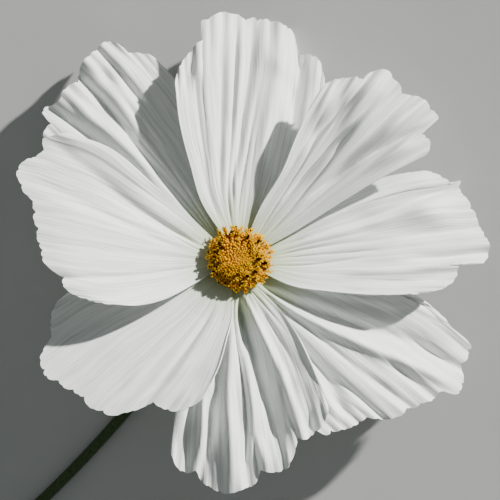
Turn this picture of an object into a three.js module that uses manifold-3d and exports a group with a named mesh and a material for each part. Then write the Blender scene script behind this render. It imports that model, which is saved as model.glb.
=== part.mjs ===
// A picked cosmos flower lying face up: eight white petals round a yellow disc, and its cut stem.
// Millimetres. +Z is up, and the flower rests on the plane Z = 0 on its stem and its lowest petals.
// The head is drawn in its own frame first, with Z along its axis and Z = 0 where the petals
// spring from it, and is then tilted and lifted into place.
import * as THREE from 'three';
import { mergeVertices } from 'three/addons/utils/BufferGeometryUtils.js';
import Module from 'manifold-3d';

const wasm = await Module();
wasm.setup();
const { Manifold, Mesh: SolidMesh } = wasm;

const TAU = 2 * Math.PI;
const GOLDEN_ANGLE = Math.PI * (3 - Math.sqrt(5));

// Where the head is held.
const HEAD_HEIGHT = 15.5;
const HEAD_TILT = 24;
const HEAD_TILT_TOWARDS = 50;

// Petals.
const PETAL_THICKNESS = 0.6;
const CLAW_START = 2.3;
const CLAW_HALF_WIDTH = 0.8;
const PETAL_REACH = 43;
const CUP_HEIGHT = 1.2;
const CUP_RUN = 5;
const STACK_AT_CLAW = 0.5;
const STACK_AT_MARGIN = 3.2;
const STACK_RISES = [0, 0.9];
const LIFT_RISES = [0.1, 1];
const DROOP_POWER = 5;
const COLUMN_WIDTH = 1.6;
const MAX_COLUMNS_PER_LOBE = 3;
const LOBE_FULLNESS = 0.75;
const FOLD_STATIONS = [0.15, 0.5, 0.9];
const FOLD_FADE_BEYOND = 0.12;
const FOLD_FADE_WITHIN = 0.08;
const FOLDS_FADE_IN = [0.05, 0.2];
const OVERLAP_FROM_EDGE = [0.5, 0.9];
const OVERLAP_BELOW_MARGIN = [0.8, 1];
const PETAL_ROWS = [0, 0.11, 0.23, 0.35, 0.47, 0.59, 0.7, 0.8, 0.9, 1];

// One entry per petal, counter-clockwise from the right, angles in degrees about the head.
// margin: [angle, radius, bulge of the lobe before it], each entry a notch between two lobes.
// cw and ccw: share of its final width that each side has at a quarter, a half and three quarters
// of the petal's length. over: how far each side lies over (above 0) or under (below 0) its
// neighbour, clockwise side first. droop: how far the tip hangs. lift: how far the petal rises
// from its claw.
// folds: [u near the base, u half way, u near the margin, half width, height, start, end], with u
// from -1 on the clockwise edge to 1 on the other, v from 0 at the claw to 1 at the margin, and
// negative heights for furrows. swells: [u, v, half width, half length, height].
const PETALS = {
  petal_right: {
    axis: 7, cw: [0.5, 0.74, 0.91], ccw: [0.42, 0.72, 0.92], over: [0.9, -0.3],
    droop: 1.5, lift: 0,
    margin: [
      [-11.9, 28], [-7.7, 35, 0.1], [-4.3, 37.4, 0.15], [-1.6, 38.1, 0.1], [-0.1, 37.9, 0.05],
      [0.4, 42.6, 0], [1.5, 43.3, 0.05], [7.2, 43.3, 0.8], [10.8, 42.8, 0.2], [13.9, 42.1, 0.35],
      [18.4, 41.4, 0.35], [19.8, 41.6, 0.05], [21.1, 42.3, 0], [21.3, 40.5, 0.05],
      [23.6, 39, 0.2], [26.9, 37.1, 0.3], [28.8, 33.6, 0.2], [33.4, 23.7, 0.2],
    ],
    folds: [
      [0.26, 0.24, 0.39, 0.055, -1.25, 0.15, 1], [0.38, 0.47, 0.54, 0.08, 0.7, 0.3, 1.1],
      [0.16, 0.16, 0.27, 0.05, 0.45, 0.2, 0.85], [-0.32, -0.33, -0.34, 0.05, -1, 0.7, 1.1],
      [-0.14, -0.1, -0.07, 0.05, -0.6, 0.72, 1.1], [-0.74, -0.71, -0.63, 0.07, -0.9, 0.65, 1],
      [-0.56, -0.53, -0.48, 0.06, 0.6, 0.5, 1],
    ],
    swells: [[0.17, 0.79, 0.16, 0.1, 1.3]],
  },
  petal_upper_right: {
    axis: 48, cw: [0.27, 0.5, 0.74], ccw: [0.32, 0.5, 0.79], over: [1, 1],
    droop: 0, lift: 3.5,
    margin: [
      [29.5, 36.6], [30.2, 37.5, 0.1], [34.7, 37.5, 0.75], [35.4, 41.7, 0.1], [38.4, 41.5, 0.45],
      [42, 41.5, 0.2], [45.7, 39.4, 0.3], [50.1, 40.6, 0.6], [55.2, 39.1, 1], [55.8, 37.1, 0.1],
      [64.2, 33.3, 0.95], [65.1, 30.7, 0.2],
    ],
    folds: [
      [0.89, 0.68, 0.47, 0.08, -1.6, 0.66, 0.98], [0.37, 0.29, 0.13, 0.07, -1.6, 0.38, 0.82],
      [-0.13, -0.34, -0.64, 0.07, -1.7, 0.44, 0.88], [-0.16, 0.01, 0.18, 0.06, -0.9, 0.15, 0.65],
      [-0.26, -0.27, -0.36, 0.1, 1.2, 0.65, 1.05], [0.08, 0.04, -0.02, 0.1, 1.2, 0.5, 1.1],
    ],
    swells: [[0.31, 0.9, 0.17, 0.13, 1.8], [-0.73, 0.88, 0.14, 0.12, 1.1]],
  },
  petal_top: {
    axis: 86, cw: [0.5, 0.78, 0.95], ccw: [0.47, 0.71, 0.9], over: [-0.3, 0.8],
    droop: 1, lift: 0,
    margin: [
      [60, 29.7], [63.9, 35.8, 0.1], [67.5, 39.1, 0.1], [72.6, 39.4, 0.45], [74.2, 40.8, 0.05],
      [78.5, 43, 0.6], [81.9, 43.5, 0.2], [84.7, 43.3, 0.3], [87.5, 42.9, 0.65], [91, 43.8, 0.5],
      [94, 43.9, 0.45], [96.4, 42.9, 0.1], [98.2, 42.6, 0.2], [98.4, 39.1, 0], [102.2, 37.5, 0.4],
      [105.8, 35.6, 0.25], [109.4, 32.6, 0.2],
    ],
    folds: [
      [0.28, 0.12, 0.04, 0.05, -1, 0.28, 1], [0.48, 0.37, 0.34, 0.06, -0.8, 0.3, 0.8],
      [-0.36, -0.42, -0.48, 0.12, -1.5, 0.45, 1.1], [-0.11, -0.18, -0.24, 0.07, 0.5, 0.4, 1.1],
      [0.73, 0.68, 0.65, 0.05, -0.3, 0.2, 0.8],
    ],
    swells: [],
  },
  petal_upper_left: {
    axis: 130, cw: [0.45, 0.75, 0.94], ccw: [0.45, 0.75, 0.94], over: [-1, -1],
    droop: 3.5, lift: 0,
    margin: [
      [106, 30.7], [107.5, 35.4, 0.2], [111.2, 40.7, 0.6], [115.4, 42.4, 0.1],
      [117.6, 46.1, 0.4], [124.9, 45, 0.4], [129.3, 42.4, 0.25], [135.8, 42.1, 0.7],
      [140.5, 42.9, 0.4], [141.9, 40.5, 0], [145.6, 40, 0.3], [153, 34.8, 0.5],
    ],
    folds: [
      [0.2, 0.22, 0.34, 0.075, -1.5, 0.5, 1.1], [0.08, 0.1, 0.15, 0.07, 0.8, 0.55, 1.1],
      [-0.19, -0.19, -0.19, 0.07, 0.6, 0.7, 1.1], [0.61, 0.63, 0.68, 0.05, -0.6, 0.3, 0.95],
    ],
    swells: [],
  },
  petal_left: {
    axis: 168, cw: [0.39, 0.67, 0.93], ccw: [0.39, 0.72, 0.92], over: [1, 1],
    droop: 0, lift: 2.5,
    margin: [
      [144.6, 35.7], [149.7, 38.9, 0.15], [151.9, 37.7, 0], [154.4, 38.4, 0.15],
      [161.1, 39.8, 1.2], [162.4, 38.7, 0.25], [163.4, 38.8, 0.05], [165.6, 36.2, 0.1],
      [168.4, 35.4, 0.35], [172.6, 34.5, 0.6], [178.8, 33.5, 0.5], [184.3, 32.3, 0.65],
      [187.2, 30.1, 0.15], [189.1, 30.6, 0.1], [195.8, 27.4, 0.65], [200.6, 23.8, 0.2],
    ],
    folds: [
      [0.36, 0.42, 0.5, 0.05, -0.45, 0.25, 1.1], [-0.12, -0.28, -0.41, 0.06, -0.2, 0.3, 0.9],
      [-0.46, -0.59, -0.8, 0.07, -0.7, 0.2, 0.92], [-0.8, -0.88, -0.92, 0.12, 0.8, 0.5, 1.1],
    ],
    swells: [],
  },
  petal_lower_left: {
    axis: 219, cw: [0.45, 0.75, 0.94], ccw: [0.41, 0.65, 0.86], over: [-1, 1],
    droop: 0.5, lift: 0,
    margin: [
      [187, 26.5], [191.4, 30.7, 0.2], [194.6, 32.5, 0.2], [202, 34, 0.2], [205.4, 37, 0.1],
      [209.3, 37.7, 0.35], [213.7, 36.5, 0.8], [218, 35.5, 0.55], [221.4, 34.9, 0.35],
      [227.8, 34.3, 0.85], [232.9, 32.5, 0.8], [238.6, 28.3, 0.25], [244.2, 28.3, 0.25],
      [250.6, 26.7, 0.5], [253.8, 25.1, 0.1], [255.6, 22.8, 0.1],
    ],
    folds: [
      [0.41, 0.41, 0.44, 0.06, -0.5, 0.3, 1.1],
    ],
    swells: [],
  },
  petal_bottom: {
    axis: 276, cw: [0.45, 0.73, 0.88], ccw: [0.42, 0.69, 0.86], over: [-1, 1],
    droop: 1.5, lift: 0,
    margin: [
      [248.3, 28.2], [250.4, 33.9, 0.15], [251.8, 35.2, 0.05], [258.4, 35.9, 1],
      [263.3, 38.4, 0.5], [267.9, 39.2, 0.35], [272.6, 38, 0.1], [275.6, 35.5, 0.9],
      [282.9, 35.9, 0.6], [283.6, 35.2, 0], [287.4, 31.7, 0.45], [291.8, 32.1, 0.4],
      [293.6, 31.7, 0], [299, 30.1, 0.35], [301.1, 28.4, 0.1], [301.4, 26.2, 0.1],
    ],
    folds: [
      [-0.3, -0.4, -0.52, 0.07, -1.2, 0.4, 1.1], [-0.21, -0.27, -0.23, 0.07, 1.1, 0.3, 1.1],
      [-0.03, 0.17, 0.26, 0.12, -2, 0.1, 0.85], [0.22, 0.42, 0.53, 0.07, 0.9, 0.15, 1],
      [0.51, 0.68, 0.73, 0.05, -0.5, 0.3, 1], [-0.69, -0.7, -0.72, 0.07, -1, 0.62, 1.1],
      [-0.54, -0.56, -0.59, 0.05, 0.6, 0.62, 1.1], [0.04, 0, 0.07, 0.07, 0.7, 0.4, 0.95],
    ],
    swells: [],
  },
  petal_lower_right: {
    axis: 322, cw: [0.45, 0.75, 0.94], ccw: [0.45, 0.75, 0.94], over: [-1, -1],
    droop: 3.5, lift: 0,
    margin: [
      [294, 29], [296.3, 31.7, 0.2], [299.8, 32.7, 0.6], [308.5, 34.2, 0.25], [311.1, 34.2, 0.05],
      [318.6, 38.3, 0.6], [321, 38.3, 0.05], [324.2, 39.6, 0.5], [328.9, 41.3, 0.7],
      [330, 42, 0.1], [332.1, 44.5, 1], [337.9, 42.7, 0.85], [341.3, 43.4, 0.6], [342.3, 43.8, 0],
      [343.7, 42.1, 0.2], [344.5, 39.6, 0.1], [348.2, 36.2, 0.2], [349.5, 32.7, 0.15],
      [350.4, 28.9, 0.15],
    ],
    folds: [
      [-0.54, -0.34, -0.5, 0.08, -1.3, 0.1, 0.85], [-0.69, -0.52, -0.6, 0.06, 0.6, 0.2, 0.85],
      [-0.16, 0.08, 0.3, 0.06, 1.1, 0.1, 0.9], [-0.01, 0.3, 0.5, 0.09, -1.3, 0.1, 0.85],
      [0.45, 0.61, 0.93, 0.06, 0.9, 0.1, 1],
    ],
    swells: [],
  },
};

// The disc of florets: [radius, height] down its outline, in the head's frame.
const DISC_PROFILE = [
  [0, 3.9], [1.7, 4], [3.4, 3.8], [4.8, 3.2], [5.3, 2.7],
  [4.9, 2.2], [1.8, 1], [1.8, -0.8], [0, -0.8],
];
const DOME_POINTS = 5;
const DISC_SIDES = 20;
const FLORETS = 84;
const FIRST_OPEN_FLORET = 28;
const FLORET_SPREAD = 5.5;
const FLORET_SINK = 0.5;
const BUD = { sides: 4, foot: 0.5, tip: 0.28, reach: 0.32 };
const OPEN_FLORET = { sides: 5, foot: 0.34, tip: 0.5, reach: 0.65 };
const FLORET_LEAN = 0.75;
const FLORET_FOOT_SHARE = 0.95;
const LENGTH_VARIES = 0.2;
const SEED = 11;

// The cups of bracts under the petals.
const INNER_BRACTS = 8;
const INNER_PROFILE = [[1.75, -6], [3.9, -4.3], [5.4, -2.7], [6.1, -2.25]];
const INNER_TIP_REACH = 1.3;
const INNER_LOBE = [0, 0.6, 1, 0.6];
const OUTER_BRACTS = 8;
const OUTER_COLLAR = 1.35;
const OUTER_ROWS = [0, 0.5, 1];
const OUTER_LENGTH = 10;
const OUTER_OUTLINE = [
  [2.3, -0.85], [4.8, -0.8], [7.6, -0.6], [OUTER_LENGTH, -0.1],
  [OUTER_LENGTH, 0.1], [7.6, 0.6], [4.8, 0.8], [2.3, 0.85],
];
const OUTER_DROP = 0.9;
const OUTER_HEIGHT = -6.75;
const BRACT_THICKNESS = 0.6;

// The stem and the swelling at its top that carries the petals: [radius, height] in the head's
// frame, then the stem proper, which bends over and lies on the ground.
const STEM_TOP_PROFILE = [[0, -1.15], [2.3, -1.15], [2.9, -1.9], [2.6, -3.2], [1.5, -4.9]];
const STEM_RADIUS = 0.95;
const STEM_TOP = 6;
const STEM_LENGTH = 80;
const STEM_SIDES = 10;
const STEM_HEADING_AT_BEND = 234;
const STEM_HEADING_AT_END = 219;
const BEND_STATIONS = 9;
const LYING_STATIONS = 7;
const STEPS_PER_STATION = 400;

const rad = (degrees) => degrees * Math.PI / 180;
const clamp = (x, low, high) => Math.min(high, Math.max(low, x));
const smoothstep = (low, high, x) => {
  const t = clamp((x - low) / (high - low), 0, 1);
  return t * t * (3 - 2 * t);
};
const hump = (x) => Math.exp(-x * x);

const headTilt = new THREE.Quaternion().setFromAxisAngle(
  new THREE.Vector3(-Math.sin(rad(HEAD_TILT_TOWARDS)), Math.cos(rad(HEAD_TILT_TOWARDS)), 0),
  rad(HEAD_TILT),
);
const place = (p) => p.clone().applyQuaternion(headTilt).add(new THREE.Vector3(0, 0, HEAD_HEIGHT));

/** A smooth curve through equally spaced values over 0 to 1. */
function through(values, x) {
  const last = values.length - 1;
  const i = Math.min(Math.floor(x * last), last - 1);
  const t = x * last - i;
  const at = (k) => {
    if (k < 0) return 2 * values[0] - values[1];
    if (k > last) return 2 * values[last] - values[last - 1];
    return values[k];
  };
  const [a, b, c, d] = [at(i - 1), at(i), at(i + 1), at(i + 2)];
  return b + t * (c - a) / 2 + t * t * (2 * a - 5 * b + 4 * c - d) / 2
    + t * t * t * (3 * b - a - 3 * c + d) / 2;
}

/** The points of a petal's margin, one for each of its columns, with a column at every notch. */
function marginColumns(petal) {
  const notches = petal.margin;
  const first = notches[0][0];
  const span = notches[notches.length - 1][0] - first;
  const columns = [{ u: -1, angle: rad(first), radius: notches[0][1] }];
  for (let k = 1; k < notches.length; k += 1) {
    const [angle0, radius0] = notches[k - 1];
    const [angle1, radius1, bulge] = notches[k];
    const width = Math.hypot(rad(angle1 - angle0) * radius1, radius1 - radius0);
    const count = clamp(Math.round(width / COLUMN_WIDTH), 1, MAX_COLUMNS_PER_LOBE);
    for (let step = 1; step <= count; step += 1) {
      const s = step / count;
      const angle = angle0 + (angle1 - angle0) * s;
      columns.push({
        u: 2 * (angle - first) / span - 1,
        angle: rad(angle),
        radius: radius0 + (radius1 - radius0) * s + bulge * (4 * s * (1 - s)) ** LOBE_FULLNESS,
      });
    }
  }
  return columns;
}

/** The u of a fold's line at v: the parabola through its three given places. */
function foldLine([low, middle, high], v) {
  const [a, b, c] = FOLD_STATIONS;
  return low * (v - b) * (v - c) / ((a - b) * (a - c))
    + middle * (v - a) * (v - c) / ((b - a) * (b - c))
    + high * (v - a) * (v - b) / ((c - a) * (c - b));
}

/** What the folds and swells add to a petal's height. A fold that would meet the neighbour fades
 * out where the two overlap. */
function foldHeight(petal, u, v) {
  const nearEdge = smoothstep(...OVERLAP_FROM_EDGE, Math.abs(u))
    * (1 - smoothstep(...OVERLAP_BELOW_MARGIN, v));
  const edgeSide = petal.over[u < 0 ? 0 : 1];
  let folds = 0;
  for (const [low, middle, high, width, height, start, end] of petal.folds) {
    const fold = height * hump((u - foldLine([low, middle, high], v)) / width)
      * smoothstep(start - FOLD_FADE_BEYOND, start + FOLD_FADE_WITHIN, v)
      * (1 - smoothstep(end - FOLD_FADE_WITHIN, end + FOLD_FADE_BEYOND, v));
    folds += height * edgeSide < 0 ? fold * (1 - nearEdge) : fold;
  }
  for (const [u0, v0, width, length, height] of petal.swells) {
    folds += height * hump((u - u0) / width) * hump((v - v0) / length);
  }
  return folds * smoothstep(...FOLDS_FADE_IN, v);
}

/**
 * Height of a petal's middle surface over the plane its claw starts from. It rises out of the cup
 * and from its claw, droops at the tip, lies over or under its neighbours, and is folded.
 */
function petalHeight(petal, u, v, radius) {
  const across = (1 + u) / 2;
  const cup = CUP_HEIGHT * (1 - Math.exp(-(radius - CLAW_START) / CUP_RUN));
  const droop = petal.droop * (radius / PETAL_REACH) ** DROOP_POWER;
  const [cwSide, ccwSide] = petal.over;
  const atClaw = STACK_AT_CLAW * THREE.MathUtils.lerp(Math.sign(cwSide), Math.sign(ccwSide), across);
  const atMargin = STACK_AT_MARGIN * THREE.MathUtils.lerp(cwSide, ccwSide, across);
  const stack = THREE.MathUtils.lerp(atClaw, atMargin, smoothstep(...STACK_RISES, v));
  const lift = petal.lift * smoothstep(...LIFT_RISES, v);
  return cup - droop + stack + lift + foldHeight(petal, u, v);
}

/** A point of a petal's middle surface, in the head's frame. */
function petalPoint(petal, column, v) {
  const across = (1 + column.u) / 2;
  const widening = THREE.MathUtils.lerp(
    through([0, ...petal.cw, 1], v), through([0, ...petal.ccw, 1], v), across,
  );
  const axis = rad(petal.axis);
  const turn = column.angle - axis;
  const along = CLAW_START + (column.radius * Math.cos(turn) - CLAW_START) * v;
  const aside = CLAW_HALF_WIDTH * column.u * (1 - v) ** 2
    + column.radius * Math.sin(turn) * widening;
  const height = petalHeight(petal, column.u, v, Math.hypot(along, aside));
  return new THREE.Vector3(
    along * Math.cos(axis) - aside * Math.sin(axis),
    along * Math.sin(axis) + aside * Math.cos(axis),
    height,
  );
}

/** Collects triangles and gives one closed geometry. */
class Shell {
  constructor() {
    this.positions = [];
  }

  triangle(a, b, c) {
    for (const p of [a, b, c]) this.positions.push(p.x, p.y, p.z);
  }

  quad(a, b, c, d) {
    this.triangle(a, b, c);
    this.triangle(a, c, d);
  }

  geometry() {
    const geometry = new THREE.BufferGeometry();
    geometry.setAttribute('position', new THREE.Float32BufferAttribute(this.positions, 3));
    const merged = mergeVertices(geometry, 1e-4);
    merged.computeVertexNormals();
    return merged;
  }
}

/** Face normals of a grid of points averaged at its nodes. The grid may close in the i direction. */
function gridNormals(grid, closed) {
  const columns = grid.length;
  const rows = grid[0].length;
  return grid.map((line, i) => line.map((_, j) => {
    const left = closed ? (i - 1 + columns) % columns : Math.max(i - 1, 0);
    const right = closed ? (i + 1) % columns : Math.min(i + 1, columns - 1);
    const across = grid[right][j].clone().sub(grid[left][j]);
    const along = grid[i][Math.min(j + 1, rows - 1)].clone().sub(grid[i][Math.max(j - 1, 0)]);
    return along.cross(across).normalize();
  }));
}

/** A blade: a grid of points given thickness, split alike on both faces. */
function blade(grid, thickness, closed = false) {
  const normals = gridNormals(grid, closed);
  const offset = (sign) => grid.map((line, i) => line.map(
    (p, j) => p.clone().addScaledVector(normals[i][j], sign * thickness / 2),
  ));
  const upper = offset(1);
  const lower = offset(-1);
  liftAboveGround(upper, lower);
  const shell = new Shell();
  const columns = grid.length;
  const rows = grid[0].length;
  const end = closed ? columns : columns - 1;
  for (let i = 0; i < end; i += 1) {
    const n = (i + 1) % columns;
    for (let j = 0; j < rows - 1; j += 1) {
      shell.quad(upper[i][j], upper[i][j + 1], upper[n][j + 1], upper[n][j]);
      shell.quad(lower[n][j], lower[n][j + 1], lower[i][j + 1], lower[i][j]);
    }
    shell.quad(upper[n][0], lower[n][0], lower[i][0], upper[i][0]);
    const r = rows - 1;
    shell.quad(upper[i][r], lower[i][r], lower[n][r], upper[n][r]);
  }
  if (!closed) {
    const c = columns - 1;
    for (let j = 0; j < rows - 1; j += 1) {
      shell.quad(upper[0][j], lower[0][j], lower[0][j + 1], upper[0][j + 1]);
      shell.quad(upper[c][j], upper[c][j + 1], lower[c][j + 1], lower[c][j]);
    }
  }
  return shell.geometry();
}

/** Where a blade would pass through the ground, it lies flat on it instead. */
function liftAboveGround(upper, lower) {
  lower.forEach((line, i) => line.forEach((p, j) => {
    const sunk = Math.max(0, -Math.min(p.z, upper[i][j].z));
    p.z += sunk;
    upper[i][j].z += sunk;
  }));
}

function petalGeometry(petal) {
  const grid = marginColumns(petal).map(
    (column) => PETAL_ROWS.map((v) => place(petalPoint(petal, column, v))),
  );
  return blade(grid, PETAL_THICKNESS);
}

/** A solid of revolution with a few flat sides. The outline runs from the top of the axis down. */
function turned(profile, sides) {
  const shell = new Shell();
  const at = (k, [radius, height]) => {
    const angle = TAU * k / sides;
    return new THREE.Vector3(radius * Math.cos(angle), radius * Math.sin(angle), height);
  };
  for (let k = 0; k < sides; k += 1) {
    for (let j = 0; j + 1 < profile.length; j += 1) {
      const [a, b] = [profile[j], profile[j + 1]];
      if (b[0] > 0) shell.triangle(at(k, a), at(k, b), at(k + 1, b));
      if (a[0] > 0) shell.triangle(at(k, a), at(k + 1, b), at(k + 1, a));
    }
  }
  return shell.geometry();
}

/** Small repeatable draws, so that the same flower is made every time. */
function draws(seed) {
  let state = seed;
  return () => {
    state = (state * 16807) % 2147483647;
    return state / 2147483647;
  };
}

/** Height of the disc's dome at a radius. */
function discSurface(radius) {
  const dome = DISC_PROFILE.slice(0, DOME_POINTS);
  const k = clamp(dome.findIndex((p) => p[0] >= radius), 1, dome.length - 1);
  const [r0, z0] = dome[k - 1];
  const [r1, z1] = dome[k];
  return z0 + (z1 - z0) * (radius - r0) / (r1 - r0);
}

function toSolid(geometry) {
  geometry.deleteAttribute('normal');
  const merged = mergeVertices(geometry, 1e-5);
  return new Manifold(new SolidMesh({
    numProp: 3,
    vertProperties: new Float32Array(merged.attributes.position.array),
    triVerts: new Uint32Array(merged.index.array),
  }));
}

function fromSolid(solid) {
  const mesh = solid.getMesh();
  const geometry = new THREE.BufferGeometry();
  geometry.setAttribute('position', new THREE.BufferAttribute(mesh.vertProperties, 3));
  geometry.setIndex(new THREE.BufferAttribute(mesh.triVerts, 1));
  geometry.computeVertexNormals();
  return geometry;
}

/** The disc: a dome with florets set in it on a golden-angle spiral, buds inside, open outside. */
function discGeometry() {
  const random = draws(SEED);
  const solids = [toSolid(turned(DISC_PROFILE, DISC_SIDES))];
  const up = new THREE.Vector3(0, 0, 1);
  for (let n = 0; n < FLORETS; n += 1) {
    const radius = FLORET_SPREAD * Math.sqrt((n + 0.5) / FLORETS);
    const angle = n * GOLDEN_ANGLE;
    const shape = n < FIRST_OPEN_FLORET ? BUD : OPEN_FLORET;
    const reach = shape.reach * (1 + LENGTH_VARIES * (2 * random() - 1));
    const form = new THREE.CylinderGeometry(
      shape.tip, shape.foot, reach + FLORET_SINK, shape.sides,
    );
    form.deleteAttribute('uv');
    form.rotateX(Math.PI / 2);
    form.translate(0, 0, (reach - FLORET_SINK) / 2);
    form.rotateZ(TAU * random());
    const lean = FLORET_LEAN * (radius / FLORET_SPREAD) ** 2;
    const out = new THREE.Vector3(Math.cos(angle), Math.sin(angle), 0);
    const aim = up.clone().multiplyScalar(Math.cos(lean)).addScaledVector(out, Math.sin(lean));
    form.applyQuaternion(new THREE.Quaternion().setFromUnitVectors(up, aim));
    const foot = radius * FLORET_FOOT_SHARE;
    form.translate(foot * out.x, foot * out.y, discSurface(foot));
    solids.push(toSolid(form));
  }
  return placed(fromSolid(Manifold.union(solids)));
}

function placed(geometry) {
  geometry.applyQuaternion(headTilt);
  geometry.translate(0, 0, HEAD_HEIGHT);
  return geometry;
}

/** The inner bracts: a cup close under the petals, its rim drawn out into eight pointed lobes. */
function innerBractsGeometry() {
  const columns = INNER_BRACTS * INNER_LOBE.length;
  const last = INNER_PROFILE.length - 1;
  const grid = [];
  for (let i = 0; i < columns; i += 1) {
    const angle = TAU * i / columns;
    const reach = INNER_TIP_REACH * INNER_LOBE[i % INNER_LOBE.length];
    grid.push(INNER_PROFILE.map(([radius, height], j) => {
      const r = radius + (j === last ? reach : 0);
      return place(new THREE.Vector3(r * Math.cos(angle), r * Math.sin(angle), height));
    }));
  }
  return blade(grid, BRACT_THICKNESS, true);
}

/** The outer bracts: narrow green blades spreading from a collar round the top of the stem. */
function outerBractsGeometry() {
  const grid = [];
  const share = TAU / OUTER_BRACTS;
  for (let k = 0; k < OUTER_BRACTS; k += 1) {
    const facing = share * (k + 0.5);
    OUTER_OUTLINE.forEach(([along, aside], m) => {
      const inner = share * ((m + 0.5) / OUTER_OUTLINE.length - 0.5);
      const start = new THREE.Vector2(Math.cos(inner), Math.sin(inner)).multiplyScalar(OUTER_COLLAR);
      const end = new THREE.Vector2(along, aside);
      grid.push(OUTER_ROWS.map((s) => {
        const p = start.clone().lerp(end, s).rotateAround(new THREE.Vector2(), facing);
        const out = (p.length() - OUTER_COLLAR) / OUTER_LENGTH;
        return place(new THREE.Vector3(p.x, p.y, OUTER_HEIGHT - OUTER_DROP * out * out));
      }));
    });
  }
  return blade(grid, BRACT_THICKNESS, true);
}

/**
 * The middle line of the stem, followed in small strides from under the head, round its bend and
 * along the ground. The bend's radius is the one that ends it a stem's radius above the ground.
 */
function stemLine() {
  const steepest = 90 - HEAD_TILT;
  const top = place(new THREE.Vector3(0, 0, -STEM_TOP));
  const bendRadius = (top.z - STEM_RADIUS) / (1 - Math.cos(rad(steepest)));
  const bendLength = bendRadius * rad(steepest);
  const stations = [];
  for (let k = 0; k < BEND_STATIONS; k += 1) stations.push(bendLength * k / BEND_STATIONS);
  for (let k = 0; k <= LYING_STATIONS; k += 1) {
    stations.push(bendLength + (STEM_LENGTH - bendLength) * k / LYING_STATIONS);
  }
  const point = top.clone();
  const line = [];
  let travelled = 0;
  for (const station of stations) {
    const stride = (station - travelled) / STEPS_PER_STATION;
    for (let k = 0; k < STEPS_PER_STATION && stride > 0; k += 1) {
      point.addScaledVector(stemDirection(travelled + stride / 2, bendLength), stride);
      travelled += stride;
    }
    line.push({ point: point.clone(), direction: stemDirection(station, bendLength) });
  }
  return line;
}

/** Which way the stem runs at a distance along it: down and outwards, then level. */
function stemDirection(distance, bendLength) {
  const bend = clamp(distance / bendLength, 0, 1);
  const lying = clamp((distance - bendLength) / (STEM_LENGTH - bendLength), 0, 1);
  const pitch = rad((90 - HEAD_TILT) * (1 - bend));
  const headingAtTop = HEAD_TILT_TOWARDS + 180;
  const heading = rad(
    headingAtTop + (STEM_HEADING_AT_BEND - headingAtTop) * smoothstep(0, 1, bend)
    + (STEM_HEADING_AT_END - STEM_HEADING_AT_BEND) * lying,
  );
  return new THREE.Vector3(
    Math.cos(pitch) * Math.cos(heading), Math.cos(pitch) * Math.sin(heading), -Math.sin(pitch),
  );
}

/** A ring of points round the stem, with a flat side down where the stem lies. */
function stemRing(centre, direction, radius) {
  const side = new THREE.Vector3(direction.y, -direction.x, 0).normalize();
  const over = side.clone().cross(direction).normalize();
  return Array.from({ length: STEM_SIDES }, (_, k) => {
    const angle = TAU * k / STEM_SIDES;
    return centre.clone()
      .addScaledVector(side, radius * Math.cos(angle))
      .addScaledVector(over, radius * Math.sin(angle));
  });
}

function stemGeometry() {
  const rings = [];
  const line = stemLine();
  for (const [radius, height] of STEM_TOP_PROFILE.slice(1)) {
    const centre = place(new THREE.Vector3(0, 0, height));
    rings.push(stemRing(centre, line[0].direction, radius));
  }
  const toCorner = STEM_RADIUS / Math.cos(Math.PI / STEM_SIDES);
  for (const { point, direction } of line) rings.push(stemRing(point, direction, toCorner));
  const shell = new Shell();
  const ends = [place(new THREE.Vector3(0, 0, STEM_TOP_PROFILE[0][1])), line.at(-1).point];
  for (let k = 0; k < STEM_SIDES; k += 1) {
    const n = (k + 1) % STEM_SIDES;
    shell.triangle(ends[0], rings[0][k], rings[0][n]);
    shell.triangle(ends[1], rings.at(-1)[n], rings.at(-1)[k]);
    for (let j = 0; j + 1 < rings.length; j += 1) {
      shell.quad(rings[j][n], rings[j][k], rings[j + 1][k], rings[j + 1][n]);
    }
  }
  return shell.geometry();
}

const MATERIALS = {
  petal: { color: 0xf4f5f0, roughness: 0.6 },
  disc: { color: 0xe0a30c, roughness: 0.8 },
  bract: { color: 0x5c8038, roughness: 0.7 },
  stem: { color: 0x3c5c2a, roughness: 0.6 },
};

function mesh(name, geometry, slot) {
  const material = new THREE.MeshStandardMaterial({ ...MATERIALS[slot], metalness: 0 });
  material.name = slot;
  const node = new THREE.Mesh(geometry, material);
  node.name = name;
  return node;
}

const flower = new THREE.Group();
flower.name = 'cosmos_flower';
for (const [name, petal] of Object.entries(PETALS)) {
  flower.add(mesh(name, petalGeometry(petal), 'petal'));
}
flower.add(mesh('disc_florets', discGeometry(), 'disc'));
flower.add(mesh('inner_bracts', innerBractsGeometry(), 'bract'));
flower.add(mesh('outer_bracts', outerBractsGeometry(), 'bract'));
flower.add(mesh('stem', stemGeometry(), 'stem'));

// The origin is on the ground, under the middle of the whole flower.
const box = new THREE.Box3().setFromObject(flower);
const middle = box.getCenter(new THREE.Vector3());
for (const node of flower.children) node.geometry.translate(-middle.x, -middle.y, -box.min.z);

export default flower;
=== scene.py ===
"""The looks of a picked cosmos flower, lying face up on its bent stem.

Run as a script in Blender 4.5. Lengths in the constants are millimetres; every mesh is made in
metres. The head is drawn in its own frame, with Z along its axis and Z = 0 where the petals
spring from it, and is then tilted and lifted into place.
"""

import math

import bpy
import numpy as np
from mathutils import Matrix, Quaternion, Vector


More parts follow.
